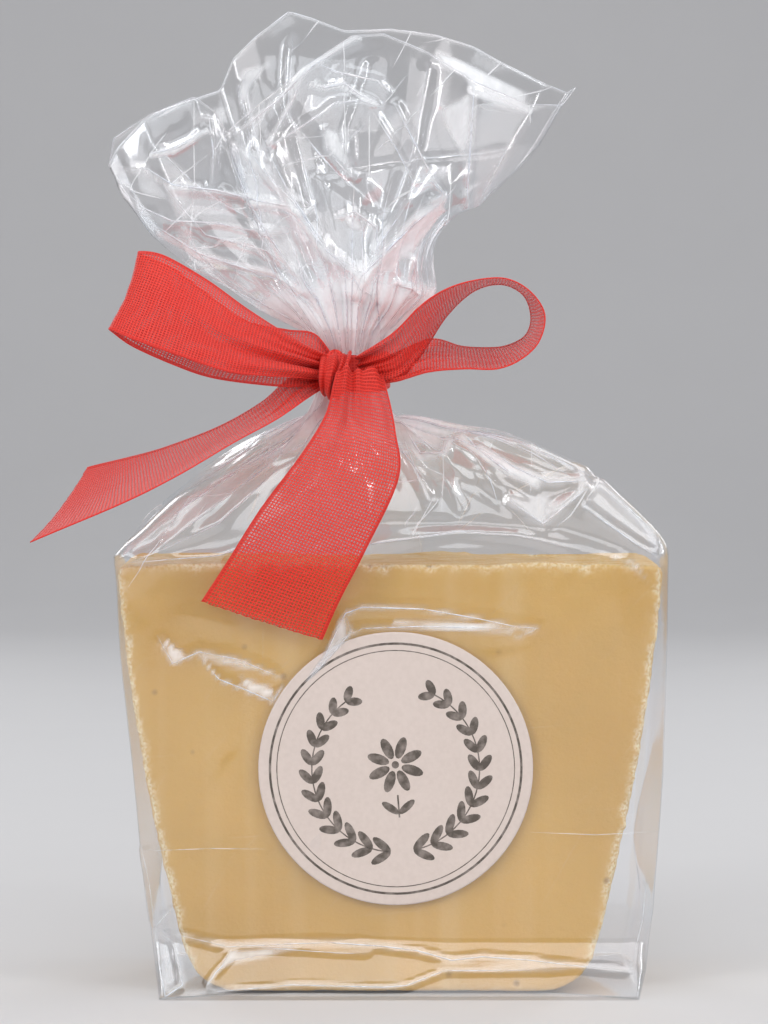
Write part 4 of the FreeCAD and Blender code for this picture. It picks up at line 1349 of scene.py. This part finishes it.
loopLeft = [
    ((-9.4, -9.4, 89.9), (-9.0, -8.8, 93.4)), ((-14.5, -13.4, 90.3), (-13.4, -11.4, 95.6)),
    ((-22.4, -17.0, 90.9), (-20.4, -12.0, 99.9)), ((-29.6, -18.8, 93.2), (-26.6, -11.2, 104.4)),
    ((-36.6, -19.4, 95.6), (-32.6, -10.4, 107.8)), ((-39.9, -17.6, 97.0), (-36.4, -8.4, 108.5)),
    ((-39.8, -15.4, 96.6), (-36.0, -6.2, 108.0)), ((-37.0, -13.9, 94.5), (-32.2, -5.2, 106.4)),
    ((-31.2, -13.2, 91.9), (-26.9, -5.4, 102.4)), ((-25.4, -12.4, 90.0), (-21.4, -6.4, 98.6)),
    ((-17.0, -11.0, 88.8), (-15.2, -6.4, 97.2)), ((-12.6, -9.4, 88.7), (-11.2, -6.6, 96.6)),
    ((-9.0, -7.6, 88.9), (-8.6, -7.0, 93.6)),
]
loopRight = [
    ((-4.6, -9.2, 89.8), (-4.8, -9.2, 93.2)), ((1.2, -10.4, 90.0), (0.0, -13.2, 96.4)),
    ((4.8, -8.4, 93.8), (3.8, -16.4, 100.2)), ((8.4, -5.6, 99.2), (7.4, -18.2, 102.5)),
    ((12.4, -3.6, 102.9), (11.6, -18.8, 103.9)), ((16.5, -2.6, 103.9), (16.3, -18.8, 104.3)),
    ((19.7, -2.2, 102.3), (19.9, -18.4, 102.5)), ((20.8, -2.1, 99.1), (22.0, -18.0, 99.2)),
    ((20.0, -2.0, 96.4), (21.2, -17.8, 95.4)), ((17.4, -2.1, 94.9), (18.6, -17.6, 92.8)),
    ((14.6, -2.4, 94.5), (15.2, -17.2, 91.4)), ((10.6, -3.4, 94.7), (10.6, -16.4, 91.3)),
    ((6.0, -5.2, 95.8), (5.6, -14.2, 90.8)), ((0.4, -7.6, 93.6), (0.8, -10.8, 89.4)),
    ((-4.6, -7.4, 92.0), (-4.6, -8.2, 89.2)),
]
tailLeft = [
    ((-9.4, -8.2, 88.8), (-9.6, -7.6, 91.2)), ((-12.2, -11.6, 87.0), (-14.4, -8.6, 90.0)),
    ((-16.6, -17.0, 84.0), (-18.8, -7.4, 86.5)), ((-22.4, -21.0, 80.8), (-25.4, -6.6, 82.8)),
    ((-30.3, -22.6, 76.3), (-32.8, -7.0, 80.0)), ((-38.8, -22.8, 72.0), (-39.6, -8.2, 78.2)),
    ((-51.0, -21.6, 66.9), (-44.2, -9.0, 77.0)),
]
tailFront = [
    ((-6.8, -10.4, 89.6), (-2.0, -9.0, 90.0)), ((-7.6, -12.9, 91.2), (-1.2, -11.4, 91.1)),
    ((-8.2, -13.7, 89.4), (-0.4, -12.9, 88.4)), ((-9.4, -14.2, 84.8), (0.8, -13.8, 82.4)),
    ((-12.8, -15.4, 79.2), (1.2, -15.0, 75.6)), ((-18.7, -15.8, 71.3), (-3.6, -15.8, 65.2)),
    ((-23.7, -15.4, 63.4), (-7.4, -15.6, 57.8)), ((-27.3, -14.8, 57.9), (-9.8, -15.0, 52.3)),
]

sheerRibbon = ribbonMaterial()
for name, edges, more in (
    ("ribbonLoopLeft", loopLeft, {"ruffle": 0.9, "seed": 2, "cup": 0.5}),
    ("ribbonLoopRight", loopRight, {"ruffle": 0.6, "seed": 3}),
    ("ribbonTailLeft", tailLeft, {"ruffle": 0.6, "seed": 4, "frayed": True, "cup": 0.6}),
    ("ribbonTailFront", tailFront, {"ruffle": 0.7, "seed": 5, "frayed": True, "cup": 0.5}),
):
    piece, length = ribbonSheet(name, edges, sheerRibbon, **more)
    print(name, len(piece.data.polygons), "length", round(length, 1))


# The knot: the same ribbon drawn tight round itself, its turn over that, and the band round the neck

knot = {"middle": (-8.1, -8.6, 90.7), "size": (4.4, 5.4, 5.8), "folds": 7}
band = {"radius": 5.6, "cord": 0.9, "tall": 3.0, "flat": 0.62, "groove": 0.16}

knotTurn = [
    ((-9.8, -6.4, 93.2), (-5.8, -6.6, 93.4)), ((-10.0, -9.6, 93.2), (-5.6, -10.0, 93.4)),
    ((-10.2, -11.8, 91.8), (-6.0, -12.1, 92.0)), ((-10.3, -12.2, 90.0), (-6.8, -12.4, 89.8)),
    ((-10.1, -10.8, 88.2), (-7.6, -10.9, 87.9)), ((-9.7, -8.0, 87.6), (-7.5, -8.0, 87.4)),
]
ribbonSheet("ribbonKnotTurn", knotTurn, sheerRibbon, ruffle=0.55, seed=8)


# The weave's place and its two masks on a lump of ribbon. placeOf gives a point's place in the weave.
def weaveOn(piece, placeOf, bunched):
    mesh = piece.data
    mesh.shade_smooth()
    layer = mesh.uv_layers.active
    for loop in mesh.loops:
        layer.data[loop.index].uv = placeOf(mesh.vertices[loop.vertex_index].co)
    addLayer(mesh, "selvedge", np.zeros(len(mesh.vertices)))
    addLayer(mesh, "bunched", np.full(len(mesh.vertices), bunched))


def knotLump():
    piece = startWith(
        "ribbonKnot", bpy.ops.mesh.primitive_uv_sphere_add, segments=72, ring_count=44, radius=mm(0.5))
    for v in piece.data.vertices:
        d = v.co.normalized()
        angle = math.atan2(d.y, d.x)
        waist = 1 - 0.16 * math.cos(2.0 * math.asin(max(-1, min(1, d.z)))) * (0.5 + 0.5 * abs(math.cos(angle)))
        drape = 0.5 * d.z + 0.27 * math.sin(angle + 0.8)
        swell = waist * (0.93 + 0.13 * abs(math.sin(knot["folds"] * (angle * 0.5 + drape))))
        v.co = tuple(mm(m + s * 0.5 * c * swell) for m, s, c in zip(knot["middle"], knot["size"], d))
    weaveOn(piece, lambda co: (co.x * 1000, co.z * 1000), 1.0)
    return piece


def neckBand():
    piece = startWith(
        "ribbonBand", bpy.ops.mesh.primitive_torus_add, major_segments=96, minor_segments=28,
        major_radius=mm(band["radius"]), minor_radius=mm(band["cord"]))
    across, tie = film["neckAcross"], film["tie"]
    for v in piece.data.vertices:
        angle = math.atan2(v.co.y, v.co.x)
        out, up = v.co.xy.length * 1000 - band["radius"], v.co.z * 1000 * band["tall"]
        groove = band["groove"] * math.cos(up * 2.6 + 0.9 * math.sin(angle * 2 + 0.4) + 0.5 * math.sin(angle * 5))
        r = band["radius"] + 0.02 + out * band["flat"] + (groove if out > 0 else 0)
        up += 0.35 * math.sin(angle * 2 + 0.6)
        v.co = (mm(across + r * math.cos(angle)), mm(r * math.sin(angle)), mm(tie + up))
    weaveOn(piece, lambda co: (co.z * 1000, math.atan2(co.y, co.x - mm(across)) * band["radius"]), 0.95)
    return piece


for piece in (knotLump(), neckBand()):
    piece.data.materials.append(sheerRibbon)
    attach(piece, "root")
    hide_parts("ribbon_bow")
print("knot and band")


# Studio: a plain pale sweep, soft lamps and an even sky

studio = {
    "floor": (0.68, 0.68, 0.69, 1),
    "world": (0.50, 0.50, 0.515, 1),
    "worldStrength": 0.74,
    "lamps": [
        # name, place, size, power: broad soft panels, and slim ones that draw the film's folds
        ("panelLeft", (-540, -420, 330), (420, 460), 1.00),
        ("panelRight", (580, -380, 280), (360, 460), 0.75),
        ("panelTop", (20, -90, 640), (620, 320), 1.10),
        ("panelFront", (60, -700, 520), (760, 420), 1.50),
        ("panelBackLeft", (-320, 400, 320), (160, 320), 0.5),
        ("panelBackRight", (340, 380, 280), (160, 320), 0.5),
        ("stripLeft", (-390, -290, 300), (26, 420), 0.42),
        ("stripRight", (430, -230, 280), (22, 420), 0.36),
    ],
}


def studioFloor():
    piece = startWith("paperSweep", bpy.ops.mesh.primitive_plane_add, size=1)
    for v in piece.data.vertices:
        v.co = (v.co.x * 4.0, -1.6 if v.co.y < 0 else 0.55, mm(-0.03))
    pickEdges(piece, lambda a, b: a.y > 0.5 and b.y > 0.5)
    for k in range(8):
        a = math.pi / 2 * (k + 0.5) / 8
        bpy.ops.mesh.extrude_region_move(TRANSFORM_OT_translate={
            "value": (0, 0.06 * math.cos(a), 0.06 * math.sin(a))})
    bpy.ops.mesh.extrude_region_move(TRANSFORM_OT_translate={"value": (0, 0, 1.6)})
    setMode("OBJECT")
    piece.data.shade_smooth()
    material, nodes, shader = newMaterial("sweepPaper")
    paper = studio["floor"]
    darker = tuple(c * 0.97 for c in paper[:3]) + (1,)
    tone = nodes.mottle(nodes.objectSpace(), 30, 3, (0, 1), (0, 1), darker, paper)
    nodes.feed(shader, {"Base Color": tone, "Roughness": 0.85})
    piece.data.materials.append(material)


def studioLamps():
    aim = Vector((0, 0, 0.07))
    for name, place, size, power in studio["lamps"]:
        data = bpy.data.lights.new(name, "AREA")
        data.shape = "RECTANGLE"
        data.size, data.size_y = mm(size[0]), mm(size[1])
        data.energy = power
        lamp = bpy.data.objects.new(name, data)
        bpy.context.collection.objects.link(lamp)
        lamp.location = [mm(c) for c in place]
        lamp.rotation_euler = (aim - lamp.location).to_track_quat("-Z", "Y").to_euler()


def studioSky():
    world = bpy.data.worlds.new("studioSky")
    bpy.context.scene.world = world
    world.use_nodes = True
    sky = world.node_tree.nodes["Background"]
    sky.inputs["Color"].default_value = studio["world"]
    sky.inputs["Strength"].default_value = studio["worldStrength"]


studioFloor()
studioLamps()
studioSky()
scene = bpy.context.scene
scene.view_settings.view_transform = "Standard"
scene.cycles.transparent_max_bounces = 48
print("studio")

deselectAll()
